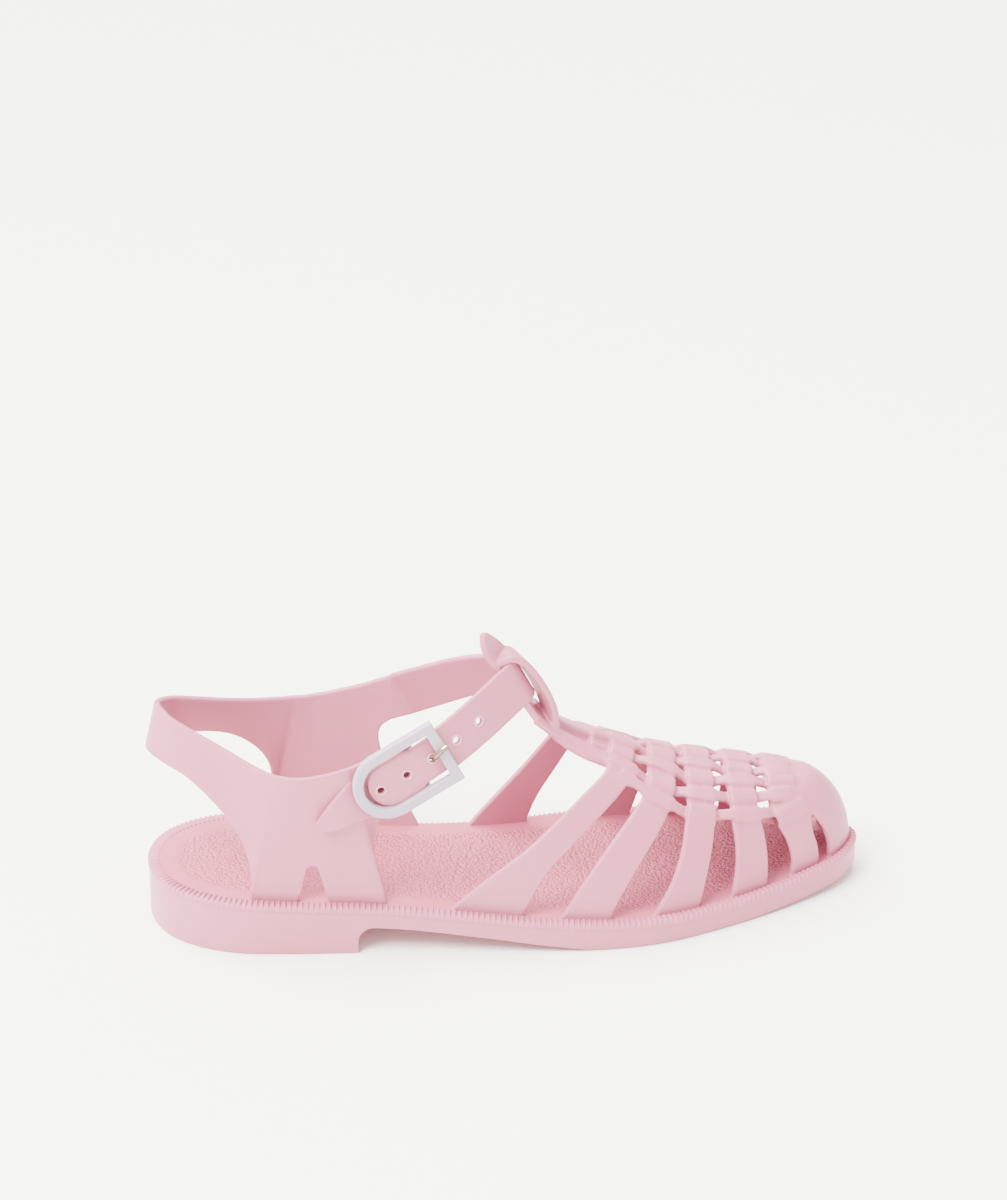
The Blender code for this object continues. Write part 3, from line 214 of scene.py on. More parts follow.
# Ankle strap seen from above, crest to crest: x share of SOLE_LENGTH, y share of COLLAR_WIDTH
ANKLE_MEDIAL = [(-0.137, 0.415), (-0.114, 0.372), (-0.086, 0.317), (-0.058, 0.258),
                (-0.030, 0.187), (-0.006, 0.104), (0.012, 0.036)]
ANKLE_CREST = (0.0185, -0.025)
ANKLE_LATERAL = [(0.013, -0.090), (-0.006, -0.155), (-0.026, -0.222), (-0.048, -0.288),
                 (-0.078, -0.366), (-0.111, -0.430), (-0.146, -0.466), (-0.176, -0.489),
                 (-0.195, -0.499)]
MEDIAL_LIFT = 0.0012
MEDIAL_FADE = 0.05
# Shares of the strap's width and length at its flared root; turns and bluntness of its round end
ROOT_FLARE = 0.08
ROOT_LENGTH = 0.25
END_TURNS = [0.1 * k for k in range(1, 15)]
END_BLUNT = 0.2
END_HOLE = 0.0039
ANKLE_LEVEL_Y = -0.0015

# T-bar in side view: x share, height share of CREST_HEIGHT, width share of LOOP_WIDTH, and the
# share of LEAF_TURN by which the width turns to the lateral side
BAR = [
    (0.135, 0.630, 1.50, 0.0), (0.105, 0.668, 1.40, 0.0), (0.078, 0.716, 1.20, 0.0),
    (0.056, 0.775, 1.08, 0.0), (0.037, 0.835, 1.05, 0.0), (0.0215, 0.905, 1.02, 0.0),
    (0.0065, 0.980, 1.00, 0.12), (-0.008, 1.052, 0.98, 0.55), (-0.0195, 1.112, 0.86, 0.9),
    (-0.0275, 1.155, 0.55, 1.0), (-0.0335, 1.190, 0.16, 1.0),
]
BAND = [
    (0.075, 0.720, 1.0, 0.0), (0.0625, 0.762, 1.0, -0.2), (0.0580, 0.810, 0.96, -0.4),
    (0.0545, 0.868, 0.92, -0.5), (0.0450, 0.940, 0.90, -0.5), (0.0290, 1.020, 0.88, -0.5),
    (0.0130, 1.078, 0.86, -0.4), (-0.0010, 1.093, 0.84, -0.2), (-0.0115, 1.072, 0.84, 0.1),
]
LEAF_TURN = math.radians(48.0)

# Buckle tab, from its free tip on the lateral quarter to the buckle pin, measured from the pin:
# shares of FRAME_LENGTH along, STRAP_WIDTH across and PIN_DEPTH outwards, width in STRAP_WIDTH
TAB = [
    (-1.080, -0.120, 0.710, 0.32), (-0.930, -0.066, 0.880, 0.62), (-0.748, -0.025, 0.800, 0.90),
    (-0.595, -0.040, 0.420, 1.15), (-0.479, -0.10, 0.160, 1.36), (-0.347, -0.12, -0.065, 1.42),
    (-0.181, -0.12, -0.208, 1.42), (-0.053, -0.12, -0.274, 1.40),
]
# Buckle: which hole the prong passes, and the frame's middle from that hole's middle:
# share of FRAME_LENGTH along, share of FRAME_WIDTH across, share of PIN_DEPTH outwards
PRONG_HOLE = 2
FRAME_PLACE = (-0.3271, 0.033, 0.4154)
FRAME_SLOPE = math.radians(9.6)
PIN_ALONG = 0.1506
PIN_DEPTH = 0.0052
KNUCKLE_RADIUS = 0.0025
KNUCKLE_REACH = 0.6
# The prong's slot starts this share of KNUCKLE_RADIUS behind the pin
SLOT_START = -0.25
# Prong: share of FRAME_LENGTH along it, depth in PIN_DEPTH
PRONG = [
    (0.142, -1.455), (0.171, -1.43), (0.197, -1.33), (0.220, -1.10), (0.244, -0.95),
    (0.262, -0.92), (0.300, -0.85), (0.322, -0.82), (0.3345, -0.60), (0.3365, -0.28),
    (0.343, 0.05), (0.358, 0.27), (0.390, 0.41), (0.455, 0.45), (0.524, 0.435),
]


def smooth(table, column, x):
    """Value of a table's column at x, through the rows in a smooth curve."""
    xs = np.array([row[0] for row in table], float)
    ys = np.array([row[column] for row in table], float)
    slopes = np.gradient(ys, xs)
    x = np.asarray(x, float)
    i = np.clip(np.searchsorted(xs, x) - 1, 0, len(xs) - 2)
    h = xs[i + 1] - xs[i]
    t = np.clip((x - xs[i]) / h, 0.0, 1.0)
    start = (2 * t**3 - 3 * t**2 + 1) * ys[i] + (t**3 - 2 * t**2 + t) * h * slopes[i]
    end = (3 * t**2 - 2 * t**3) * ys[i + 1] + (t**3 - t**2) * h * slopes[i + 1]
    return start + end


def spline(points, per, closed=False):
    """Catmull-Rom curve through the points, with per steps between two of them."""
    p = np.array(points, float)
    count = len(p)
    out = []
    for i in range(count if closed else count - 1):
        if closed:
            a, b, c, d = p[i - 1], p[i], p[(i + 1) % count], p[(i + 2) % count]
        else:
            b, c = p[i], p[i + 1]
            a = p[i - 1] if i > 0 else 2 * b - c
            d = p[i + 2] if i + 2 < count else 2 * c - b
        for k in range(per):
            t = k / per
            out.append(0.5 * (2 * b + (c - a) * t + (2 * a - 5 * b + 4 * c - d) * t**2
                              + (3 * b - a - 3 * c + d) * t**3))
    if not closed:
        out.append(p[-1])
    return np.array(out)


def run_lengths(line):
    """Lengths along a line from its start to each of its points."""
    return np.r_[0, np.cumsum(np.linalg.norm(np.diff(line, axis=0), axis=1))]


def point_at(place, run, line):
    return np.array([np.interp(place, run, column) for column in line.T])


def respaced(points, count, closed=False):
    """The same curve with count points at even distances."""
    p = np.vstack([points, points[:1]]) if closed else points
    run = run_lengths(p)
    return point_at(np.linspace(0, run[-1], count, endpoint=not closed), run, p).T


def spring(x):
    u = np.clip((x / SOLE_LENGTH - SPRING_START) / (0.5 - SPRING_START), 0, 1)
    return TOE_SPRING * u**2


def rim_height(x):
    drop = smooth(SIDE, 1, x / SOLE_LENGTH)
    return FOREPART_HEIGHT + (SEAT_HEIGHT - FOREPART_HEIGHT) * drop + spring(x)


def rim_width(x):
    """The rim narrows to three fifths of its width round the toe."""
    u = np.clip((x / SOLE_LENGTH - RIM_NARROWS) / (0.5 - RIM_NARROWS), 0, 1)
    return RIM_WIDTH * (1 - RIM_TAPER * u**2)


def arch_edge(x):
    """Share of the arch's rise along the medial edge."""
    u = (x / SOLE_LENGTH - ARCH_MIDDLE) / ARCH_SPREAD
    return np.exp(-u**2)


OUTER = respaced(spline([(x * SOLE_LENGTH, y * BALL_WIDTH) for x, y in OUTLINE], 16, True),
                 960, True)


def edge_sides(inset, follow_rim):
    """Lateral and medial halves of the outline, moved inwards."""
    along = np.roll(OUTER, -1, 0) - np.roll(OUTER, 1, 0)
    along /= np.linalg.norm(along, axis=1)[:, None]
    inward = np.stack([-along[:, 1], along[:, 0]], 1)
    dist = inset + (rim_width(OUTER[:, 0]) if follow_rim else 0.0)
    ring = OUTER + inward * np.reshape(dist * np.ones(len(OUTER)), (-1, 1))
    back, front, count = ring[:, 0].argmin(), ring[:, 0].argmax(), len(ring)
    lateral = ring[[(back + k) % count for k in range((front - back) % count + 1)]]
    medial = ring[[(front + k) % count for k in range((back - front) % count + 1)]][::-1]
    return lateral, medial


def stations(inset, follow_rim):
    """Matching lateral and medial points at EDGE_STEPS + 1 places from heel to toe."""
    lateral, medial = edge_sides(inset, follow_rim)
    first, last_x = lateral[0, 0], lateral[-1, 0]
    turn = np.pi * np.arange(EDGE_STEPS + 1) / EDGE_STEPS
    x = (first + last_x) / 2 - (last_x - first) / 2 * np.cos(turn)
    low = np.interp(x, lateral[:, 0], lateral[:, 1])
    high = np.interp(x, medial[:, 0], medial[:, 1])
    return x, low, high


BASE_LATERAL, BASE_MEDIAL = edge_sides(WALL / 2, True)


def base_y(x, side):
    edge = BASE_LATERAL if side < 0 else BASE_MEDIAL
    return np.interp(x, edge[:, 0], edge[:, 1])


def base_z(x):
    """Middle of the base band's height."""
    return rim_height(x) - RECESS_DEPTH / 2


def last(share, turn):
    """Point of the vamp surface at an x share and a round share from -1 to 1."""
    share, turn = np.asarray(share, float), np.asarray(turn, float)
    x = share * SOLE_LENGTH
    ridge = smooth(VAMP, 1, share) * BALL_WIDTH
    top = smooth(VAMP, 2, share) * VAMP_HEIGHT - STRAP_WALL / 2
    power = 2 / smooth(VAMP, 3, share)
    angle = turn * np.pi / 2
    edge = np.where(turn < 0, base_y(x, -1), base_y(x, 1))
    floor = base_z(x)
    cosine = np.cos(angle)
    y = ridge + (edge - ridge) * np.abs(np.sin(angle)) ** power
    z = floor + (top - floor) * np.sign(cosine) * np.abs(cosine) ** power
    return np.stack([x * np.ones_like(y), y, z], -1)


def unit(v):
    return v / np.maximum(np.linalg.norm(v, axis=-1, keepdims=True), 1e-12)


def grid_normals(grid):
    """Normals of a grid of points, outwards for rows that run from lateral to medial."""
    along = np.gradient(grid, axis=0)
    across = np.gradient(grid, axis=1)
    return unit(np.cross(along, across))


def linked(name, data):
    """A new object in the scene."""
    obj = bpy.data.objects.new(name, data)
    bpy.context.scene.collection.objects.link(obj)
    return obj


def mesh_object(name, verts, faces):
    mesh = bpy.data.meshes.new(name)
    mesh.from_pydata([tuple(v) for v in verts], [], faces)
    bm = bmesh.new()
    bm.from_mesh(mesh)
    bmesh.ops.remove_doubles(bm, verts=bm.verts, dist=SAME_POINT)
    bmesh.ops.recalc_face_normals(bm, faces=bm.faces)
    bm.to_mesh(mesh)
    bm.free()
    return linked(name, mesh)


def merged(name, bodies):
    """One object from several, which go."""
    mesh = bpy.data.meshes.new(name)
    bm = bmesh.new()
    for body in bodies:
        bm.from_mesh(body.data)
        bpy.data.objects.remove(body, do_unlink=True)
    bm.to_mesh(mesh)
    bm.free()
    return linked(name, mesh)


def settle(obj):
    """Puts the result of an object's modifiers in its mesh."""
    depsgraph = bpy.context.evaluated_depsgraph_get()
    result = bpy.data.meshes.new_from_object(obj.evaluated_get(depsgraph))
    obj.modifiers.clear()
    obj.data = result


def grid_faces(rows, columns, start=0, around=False):
    """Quads between the neighbouring points of rows of equal count."""
    faces = []
    for a in range(start, start + (rows - 1) * columns, columns):
        for k in range(columns if around else columns - 1):
            m = (k + 1) % columns
            faces.append((a + k, a + m, a + columns + m, a + columns + k))
    return faces


def loft(name, rings, closed=False):
    """Closed body through rings of equal count; its ends are capped unless it closes on itself."""
    rings = np.array(rings)
    count, size = rings.shape[:2]
    verts = rings.reshape(-1, 3)
    faces = grid_faces(count, size, around=True)
    if closed:
        final = (count - 1) * size
        faces += [(final + k, final + (k + 1) % size, (k + 1) % size, k) for k in range(size)]
    else:
        faces.append(tuple(range(size - 1, -1, -1)))
        faces.append(tuple((count - 1) * size + k for k in range(size)))
    return mesh_object(name, verts, faces)


def slab(name, grid, wall, normals=None):
    """Wall of even thickness on a grid of middle points, its long edges rounded.

    The normals are one for each row or one for each point.
    """
    n = grid_normals(grid) if normals is None else normals
    if n.ndim == 2:
        n = np.repeat(n[:, None], grid.shape[1], 1)
    inner_round = 0.4 * EDGE_ROUND
    start = unit(grid[:, 1] - grid[:, 0])
    final = unit(grid[:, -2] - grid[:, -1])

    def corner(column, inward, radius, side, reverse):
        centre = grid[:, column] + inward * radius + side * n[:, column] * (wall / 2 - radius)
        points = []
        for k in range(4):
            turn = math.pi / 2 * k / 3
            points.append(centre + radius * (-math.cos(turn) * inward
                                             + side * math.sin(turn) * n[:, column]))
        return np.stack(points[::-1] if reverse else points, 1)

    outer = grid + n * wall / 2
    inner = grid - n * wall / 2
    rings = np.concatenate([
        corner(0, start, EDGE_ROUND, 1, False), outer[:, 1:-1],
        corner(-1, final, EDGE_ROUND, 1, True), corner(-1, final, inner_round, -1, False),
        inner[:, -2:0:-1], corner(0, start, inner_round, -1, True)], 1)
    return loft(name, rings)


def boolean(target, other, operation):
    """Joins or cuts in place with the exact solver and removes the tool body."""
    modifier = target.modifiers.new(operation.lower(), "BOOLEAN")
    modifier.operation = operation
    modifier.solver = "EXACT"
    modifier.object = other
    settle(target)
    bpy.data.objects.remove(other, do_unlink=True)


def edge_ring(inset, follow_rim, z):
    """Points round the sole, moved inwards, at the heights z(x)."""
    x, low, high = stations(inset, follow_rim)
    lateral, medial = [np.stack([x, y, z(x)], 1) for y in (low, high)]
    return np.vstack([lateral, medial[-2:0:-1]])


def cap_faces(start, flip):
    """Strips between the lateral and the medial points of one such ring."""
    size = 2 * EDGE_STEPS
    faces = []
    for i in range(EDGE_STEPS):
        corners = [start + k % size for k in (i, i + 1, size - i - 1, size - i)]
        face = list(dict.fromkeys(corners))
        faces.append(face[::-1] if flip else face)
    return faces


def base_band():
    """Closed band that fills the joint between the rim and the insole and carries the straps."""
    shave = BAND_EDGE

    def lifted(x, y, drop):
        side = np.clip((y / BALL_WIDTH - ARCH_SIDE[0]) / (ARCH_SIDE[1] - ARCH_SIDE[0]), 0, 1)
        return rim_height(x) - RIM_STEP + ARCH_RISE * BAND_RISE * arch_edge(x) * side - drop

    corners = []
    for inset, low_side, drop in [(0, True, 0), (0, False, shave), (shave, False, 0),
                                  (WALL - shave, False, 0), (WALL, False, shave), (WALL, True, 0)]:
        ring = edge_ring(inset, True, rim_height)
        if low_side:
            ring[:, 2] -= RECESS_DEPTH
        else:
            ring[:, 2] = lifted(ring[:, 0], ring[:, 1], drop)
        corners.append(ring)
    return loft("base_band", np.stack(corners, 1), closed=True)


def strip_turn(index, share):
    return smooth(STRIPS, index + 1, share)


def crossings():
    """x share and round share of each meeting of cross strap i and strip j."""
    places = {}
    for i, rows in enumerate(CROSS):
        by_turn = [(turn, share) for share, turn, _ in rows]
        for j in range(len(STRIP_STARTS)):
            share = 0.25
            for _ in range(12):
                share = float(smooth(by_turn, 1, strip_turn(j, share)))
            places[i, j] = (share, float(strip_turn(j, share)))
    return places


def wave(position, knots):
    """Lift along a strap: each knot is a place and a sign, with a smooth swing between them."""
    places = [k[0] for k in knots]
    signs = [k[1] for k in knots]
    if position <= places[0]:
        return signs[0]
    if position >= places[-1]:
        return signs[-1]
    i = int(np.searchsorted(places, position)) - 1
    t = (position - places[i]) / (places[i + 1] - places[i])
    t = min(max((t - WAVE_FLAT) / (1 - 2 * WAVE_FLAT), 0.0), 1.0)
    s = t * t * (3 - 2 * t)
    return signs[i] * (1 - s) + signs[i + 1] * s


# The instep is fuller on the medial side: height added to the last, and its middle and spread
# in x share and in round share
MOUND_RISE = 0.0090
MOUND_AT = (0.10, 0.56)
MOUND_SPREAD = (0.07, 0.20)


def mound(share, turn):
    """Extra height of the instep at an x share and a round share."""
    off_x, off_turn = [(at - middle) / spread
                       for at, middle, spread in zip((share, turn), MOUND_AT, MOUND_SPREAD)]
    return MOUND_RISE * np.exp(-(off_x**2 + off_turn**2))


def surface_band(name, path, widths, lifts, columns):
    """Band on the vamp surface along a path of x share and round share.

    Its width turns from square across the path to along the feather edge where it reaches it.
    """
    path = np.array(path)
    step = 1e-3
    centre = last(path[:, 0], path[:, 1])
    by_x = (last(path[:, 0] + step, path[:, 1]) - centre) / step
    by_turn = (last(path[:, 0], np.clip(path[:, 1] + step, -1, 1)) - centre) / step
    edge = path[:, 1] > 0.999
    back = (centre - last(path[:, 0], path[:, 1] - step)) / step
    by_turn[edge] = back[edge]
    normal = unit(np.cross(by_x, by_turn))
    along = unit(np.gradient(centre, axis=0))
    across = unit(np.cross(normal, along))
    length_wise = unit(by_x)
    same_way = np.sign(np.sum(length_wise * across, 1))[:, None]
    foot = np.clip((np.abs(path[:, 1:2]) - FOOT_TURN) / (1 - FOOT_TURN), 0, 1) ** 1.5
    across = unit(across * (1 - foot) + length_wise * same_way * foot)
    offsets = np.linspace(-0.5, 0.5, columns)
    grid = np.zeros((len(path), columns, 3))
    for i in range(len(path)):
        basis = np.stack([by_x[i], by_turn[i]], 1)
        move, _, _, _ = np.linalg.lstsq(basis, across[i], rcond=None)
        for k, offset in enumerate(offsets):
            share = path[i, 0] + move[0] * offset * widths[i]
            turn = np.clip(path[i, 1] + move[1] * offset * widths[i], -1, 1)
            grid[i, k] = last(share, turn) + normal[i] * lifts[i] + [0, 0, mound(share, turn)]
    return slab(name, grid, STRAP_WALL, normals=normal)


# Steps along a cross strap are even where an x share weighs this much against a round share
X_WEIGHT = 2.0
CROSS_STEPS = 150


def cross_straps(places):
    bodies = []
    for i, rows in enumerate(CROSS):
        knots = [(places[i, 0][1] - CROSS_FLAT, 0.0)]
        knots += [(places[i, j][1], -1.0 if (i + j) % 2 else 1.0) for j in range(7)]
        knots.append((places[i, 6][1] + CROSS_FLAT, 0.0))
        path = respaced(spline([(r[0] * X_WEIGHT, r[1], r[2]) for r in rows], 12), CROSS_STEPS)
        lifts = [WEAVE_LIFT * wave(t, knots) for t in path[:, 1]]
        track = np.stack([path[:, 0] / X_WEIGHT, path[:, 1]], 1)
        bodies.append(surface_band("cross", track, path[:, 2] * STRIP_WIDTH, lifts, 13))
    return bodies


# The strips are flat pads where they cross and narrow cords between: x shares and width shares
PAD_REACH = 0.0165
PAD_FADE = 0.006
PAD_SHARE = 1.12
CORD_SHARE = 0.78
# Steps to an x share of 1, and where and how far the strips dip under the toe cap
STRIP_STEPS = 520
CAP_DIP = 0.35
CAP_DIP_START = 2.2


def long_strips(places):
    bodies = []
    for j, start in enumerate(STRIP_STARTS):
        knots = [(places[i, j][0], 1.0 if (i + j) % 2 else -1.0) for i in range(5)
                 if places[i, j][0] > start]
        if start < STRIPS[1][0]:
            knots.insert(0, (start + BAR_FLAT, 0.0))
        knots += [(STRIP_END - CAP_DIP_START * CAP_FLAT, CAP_DIP), (STRIP_END, -CAP_DIP)]
        final = STRIP_END if 0 < j < 6 else STRIP_SHORT
        x = np.linspace(start, final, round(STRIP_STEPS * (final - start)))
        path = np.stack([x, strip_turn(j, x)], 1)
        lifts = [WEAVE_LIFT * wave(s, knots) for s in x]
        crossed = np.array([places[i, j][0] for i in range(5)])
        near = np.min(np.abs(x[:, None] - crossed), axis=1)
        flat = np.clip(1 - (near - PAD_REACH) / PAD_FADE, 0, 1)
        widths = STRIP_WIDTH * (CORD_SHARE + (PAD_SHARE - CORD_SHARE) * flat**2 * (3 - 2 * flat))
        bodies.append(surface_band("strip", path, widths, lifts, 9))
    return bodies


def toe_cap():
    """Dome from the base band round the toe up to the ends of the strips."""
    edge = respaced(spline(CAP_EDGE, 16), CAP_ROWS)
    foot = CAP_EDGE[0][0] * SOLE_LENGTH
    lateral = BASE_LATERAL[BASE_LATERAL[:, 0] > foot]
    medial = BASE_MEDIAL[BASE_MEDIAL[:, 0] > foot][::-1]
    ends = [[(foot, base_y(foot, side))] for side in (-1, 1)]
    arc = respaced(np.vstack([ends[0], lateral, medial, ends[1]]), CAP_COLUMNS + 1)
    feet = np.column_stack([arc, base_z(arc[:, 0])])
    across = np.linspace(0, 1, CAP_COLUMNS + 1)
    top_share, top_turn = CAP_EDGE[-1]
    crown = last(top_share - CAP_SAG * np.sin(np.pi * across), top_turn * (2 * across - 1))
    turn = np.linspace(0, np.pi / 2, CAP_ROWS)
    dome = np.stack([np.cos(turn), np.cos(turn), 1 - np.sin(turn)], 1)
    grid = crown[:, None] + (feet - crown)[:, None] * dome[None]
    for column, side in ((0, -1), (-1, 1)):
        shift = last(edge[:, 0], side * edge[:, 1]) - grid[column]
        near = np.clip(1 - np.abs(across - across[column]) / CAP_BLEND, 0, 1) ** 2
        grid = grid + near[:, None, None] * shift[None]
    grid = grid.transpose(1, 0, 2)[::-1]
    normals = grid_normals(grid)
    tangent = np.gradient(grid[-1], axis=0)
    level = unit(np.stack([tangent[:, 1], -tangent[:, 0], 0 * tangent[:, 0]], 1))
    normals[-1] = level * np.sign(np.sum(level * normals[-1], 1))[:, None]
    return slab("toe_cap", grid + normals * CAP_PROUD, CAP_WALL, normals=normals)


def quarter_point(x_share, reach, height, side):
    """Point of a quarter from a table row; a reach of 0 with no height lies on the base band."""
    x = x_share * SOLE_LENGTH
    if height == 0.0:
        return np.array([x, base_y(x, side), base_z(x)])
    out = max(reach * COLLAR_WIDTH / 2 - STRAP_WALL / 2, 0.0)
    return np.array([x, ANKLE_LEVEL_Y + side * out, height * COLLAR_HEIGHT])


STRAP_AXIS = np.array([-math.sin(STRAP_TILT), 0.0, math.cos(STRAP_TILT)])


def quarter_stations():
    """Top and low edge points from the lateral tab round the heel to the medial ankle strap."""
    rows = [(r, -1) for r in LATERAL[::-1]] + [(r, -1) for r in HEEL_TURN[::-1]]
    rows += [(HEEL_BACK, 1)] + [(r, 1) for r in HEEL_TURN] + [(r, 1) for r in MEDIAL]
    tops = [quarter_point(r[0], r[1], r[2], side) for r, side in rows]
    lows = [quarter_point(r[3], r[4], r[5], side) for r, side in rows]
    return tops, lows


def ankle_line():
    """Middle line of the ankle strap from the medial quarter over the crest to its free end."""
    points = []
    for share, y_share in ANKLE_MEDIAL + [ANKLE_CREST] + ANKLE_LATERAL:
        lift = 0.0
        if (share, y_share) in ANKLE_MEDIAL:
            lift = MEDIAL_LIFT * min(1.0, max(0.0, -share / MEDIAL_FADE))
        rise = (share - ANKLE_CREST[0]) * SOLE_LENGTH * math.tan(STRAP_TILT)
        points.append((share * SOLE_LENGTH, y_share * COLLAR_WIDTH, CREST_HEIGHT + rise + lift))
    return spline(points, 12)


# The ankle strap's own width as a share of STRAP_WIDTH. It is narrower where the buckle's front
# half frames it: lengths from the free end, and what its top and low edges lose.
STRAP_BROAD = 1.15
NOTCH = (0.0172, 0.0305)
NOTCH_EASE = (0.0012, 0.002)
NOTCH_TOP = 0.0008
NOTCH_LOW = 0.0013


def quarter_and_strap():
    """One wall: lateral quarter, heel strap, medial quarter and ankle strap with its round end."""
    tops, lows = quarter_stations()
    line = ankle_line()
    run = run_lengths(line)
    edges = spline(np.hstack([tops, lows]), 8)
    tops, lows = list(edges[:, :3]), list(edges[:, 3:])
    round_end = [run[-1] - STRAP_WIDTH / 2 * (1 - math.sin(a)) for a in END_TURNS]
    places = np.sort(np.r_[run[run < run[-1] - STRAP_WIDTH / 2], round_end, run[-1]])
    for place in places:
        p = point_at(place, run, line)
        half = STRAP_WIDTH / 2
        left = run[-1] - place
        if left < half:
            half = max(math.sqrt(max(half**2 - (half - left) ** 2, 0.0)), END_BLUNT * half)
        half *= STRAP_BROAD
        notch = np.clip((left - NOTCH[0]) / NOTCH_EASE[0], 0, 1)
        notch *= np.clip((NOTCH[1] - left) / NOTCH_EASE[1], 0, 1)
        half *= 1 + ROOT_FLARE * max(0.0, 1 - place / (ROOT_LENGTH * run[-1]))
        tops.append(p + STRAP_AXIS * (half - notch * NOTCH_TOP))
        lows.append(p - STRAP_AXIS * (half - notch * NOTCH_LOW))
    tops, lows = np.array(tops), np.array(lows)
    v = np.linspace(0, 1, QUARTER_ROWS)[None, :, None]
    grid = lows[:, None] * (1 - v) + tops[:, None] * v
    outward = unit(np.cross(np.gradient(grid.mean(axis=1), axis=0), tops - lows))
    body = slab("quarter", grid, STRAP_WALL, normals=outward)
    for cutter in quarter_hole_cutters() + strap_hole_cutters():
        boolean(body, cutter, "DIFFERENCE")
    return body


def quarter_hole_cutters():
    """Rounded triangles through the foot of each quarter."""
    cutters = []
    for x_share, height, width, side in QUARTER_HOLES:
        x, foot = x_share * SOLE_LENGTH, width * SOLE_LENGTH
        low = base_z(x) - RECESS_DEPTH
        rise = height * COLLAR_HEIGHT - low
        shape = spline(HOLE_SHAPE, 8)
        right = [(x + u * foot, low + v * rise) for u, v in shape]
        left = [(x - u * foot, low + v * rise) for u, v in shape[-2::-1]]
        reaches = (side * 0.3 * COLLAR_WIDTH, side * 0.7 * COLLAR_WIDTH)
        cutters.append(loft("cutter", [[(px, y, pz) for px, pz in right + left] for y in reaches]))
    return cutters


def ring(centre, u, v, radius, segments):
    """Points round a centre, from the direction u towards v."""
    return [centre + radius * (math.cos(t) * u + math.sin(t) * v)
            for t in np.linspace(0, 2 * math.pi, segments, endpoint=False)]


def rod(name, start, end, radius, segments):
    """Round bar between two points."""
    axis = unit(end - start)
    helper = np.array([0.0, 0.0, 1.0]) if abs(axis[2]) < 0.8 else np.array([1.0, 0.0, 0.0])
    u = unit(np.cross(axis, helper))
    v = np.cross(axis, u)
    return loft(name, [ring(point, u, v, radius, segments) for point in (start, end)])


def strap_hole_cutters():
    """Round holes through the free end of the ankle strap."""
    cutters = []
    for k in range(HOLE_COUNT):
        p, outward = strap_hole(k)
        reach = outward * (STRAP_WALL / 2 + HOLE_RADIUS)
        cutters.append(rod("cutter", p - reach, p + reach, HOLE_RADIUS, 28))
    return cutters


def profile_band(name, rows):
    """Band whose middle line lies in the XZ plane, with a width in Y that may turn about Z."""
    line = spline([(x * SOLE_LENGTH, z * CREST_HEIGHT, width * LOOP_WIDTH, turn * LEAF_TURN)
                   for x, z, width, turn in rows], 12)
    x, z, width, turn = line.T[:, :, None]
    y = width * np.linspace(-0.5, 0.5, 13)
    grid = np.stack([x + y * np.sin(turn), ANKLE_LEVEL_Y + y * np.cos(turn), z + 0 * y], -1)
    return slab(name, grid[::-1], LOOP_WALL)


def strap_hole(index):
    """Middle of a strap hole, counted from the free end, and the outward direction there."""
    line = ankle_line()
    run = run_lengths(line)
    place = run[-1] - END_HOLE - index * HOLE_PITCH
    middle, ahead = [point_at(at, run, line) for at in (place, place + HOLE_RADIUS)]
    return middle, unit(np.cross(STRAP_AXIS, ahead - middle))


def buckle_axes():
    """Middle of the frame, and its directions along the strap, across it and outwards."""
    along = unit(np.array([1.0, math.tan(FRAME_SLOPE), math.tan(STRAP_TILT)]))
    outward = unit(np.cross(along, STRAP_AXIS))
    across = np.cross(outward, along)
    a, b, c = FRAME_PLACE
    middle = strap_hole(PRONG_HOLE)[0] + along * a * FRAME_LENGTH + across * b * FRAME_WIDTH
    return middle + outward * c * PIN_DEPTH, along, across, outward


def buckle_pin():
    middle, along, _, outward = buckle_axes()
    return middle + along * PIN_ALONG * FRAME_LENGTH - outward * PIN_DEPTH


def buckle_tab():
    """Raised strap on the lateral quarter that ends in a knuckle round the buckle pin."""
    _, pin_along, pin_across, pin_outward = buckle_axes()
    pin = buckle_pin()
    rows = []
    for ahead, sideways, out, width in TAB:
        p = pin + pin_along * ahead * FRAME_LENGTH + pin_across * sideways * STRAP_WIDTH
        rows.append(np.r_[p + pin_outward * out * PIN_DEPTH, width * STRAP_WIDTH])
    line = spline(rows, 12)
    centre = line[:, :3]
    along = unit(np.gradient(centre, axis=0))
    outward = unit(np.cross(along, np.tile(STRAP_AXIS, (len(line), 1))))
    outward *= np.sign(-outward[:, 1:2])
    across = unit(np.cross(outward, along))
    offsets = np.linspace(-0.5, 0.5, 11)[:, None]
    grid = centre[:, None] + (across * line[:, 3:4])[:, None] * offsets
    tab = slab("tab", grid, STRAP_WALL, normals=outward)
    along, across, outward = pin_along, pin_across, pin_outward
    reach = across * KNUCKLE_REACH * STRAP_WIDTH
    boolean(tab, rod("knuckle", pin - reach, pin + reach, KNUCKLE_RADIUS, 40), "UNION")
    bore = PIN_RADIUS + GAP
    boolean(tab, rod("cutter", pin - reach * 1.5, pin + reach * 1.5, bore, 40), "DIFFERENCE")
    half = PRONG_RADIUS + GAP
    corners = [(SLOT_START, -2), (2, -2), (2, 2), (SLOT_START, 2)]
    rings = [[pin + across * side * half + (along * a + outward * b) * KNUCKLE_RADIUS
              for a, b in corners] for side in (-1, 1)]
    boolean(tab, loft("cutter", rings), "DIFFERENCE")
    return tab


# Fusing the moulded pieces: voxel size and each piece's share of it, most triangles of a piece,
# faces of the largest speck, and the two weights by which a mesh is evened out
FINE = 0.0005
VAMP_VOXEL = 1.04
QUARTER_VOXEL = 0.96
BUCKLE_VOXEL = 0.55
MOST_TRIANGLES = 185000
SPECK_FACES = 200
RELAX_WEIGHTS = (0.55, -0.57)


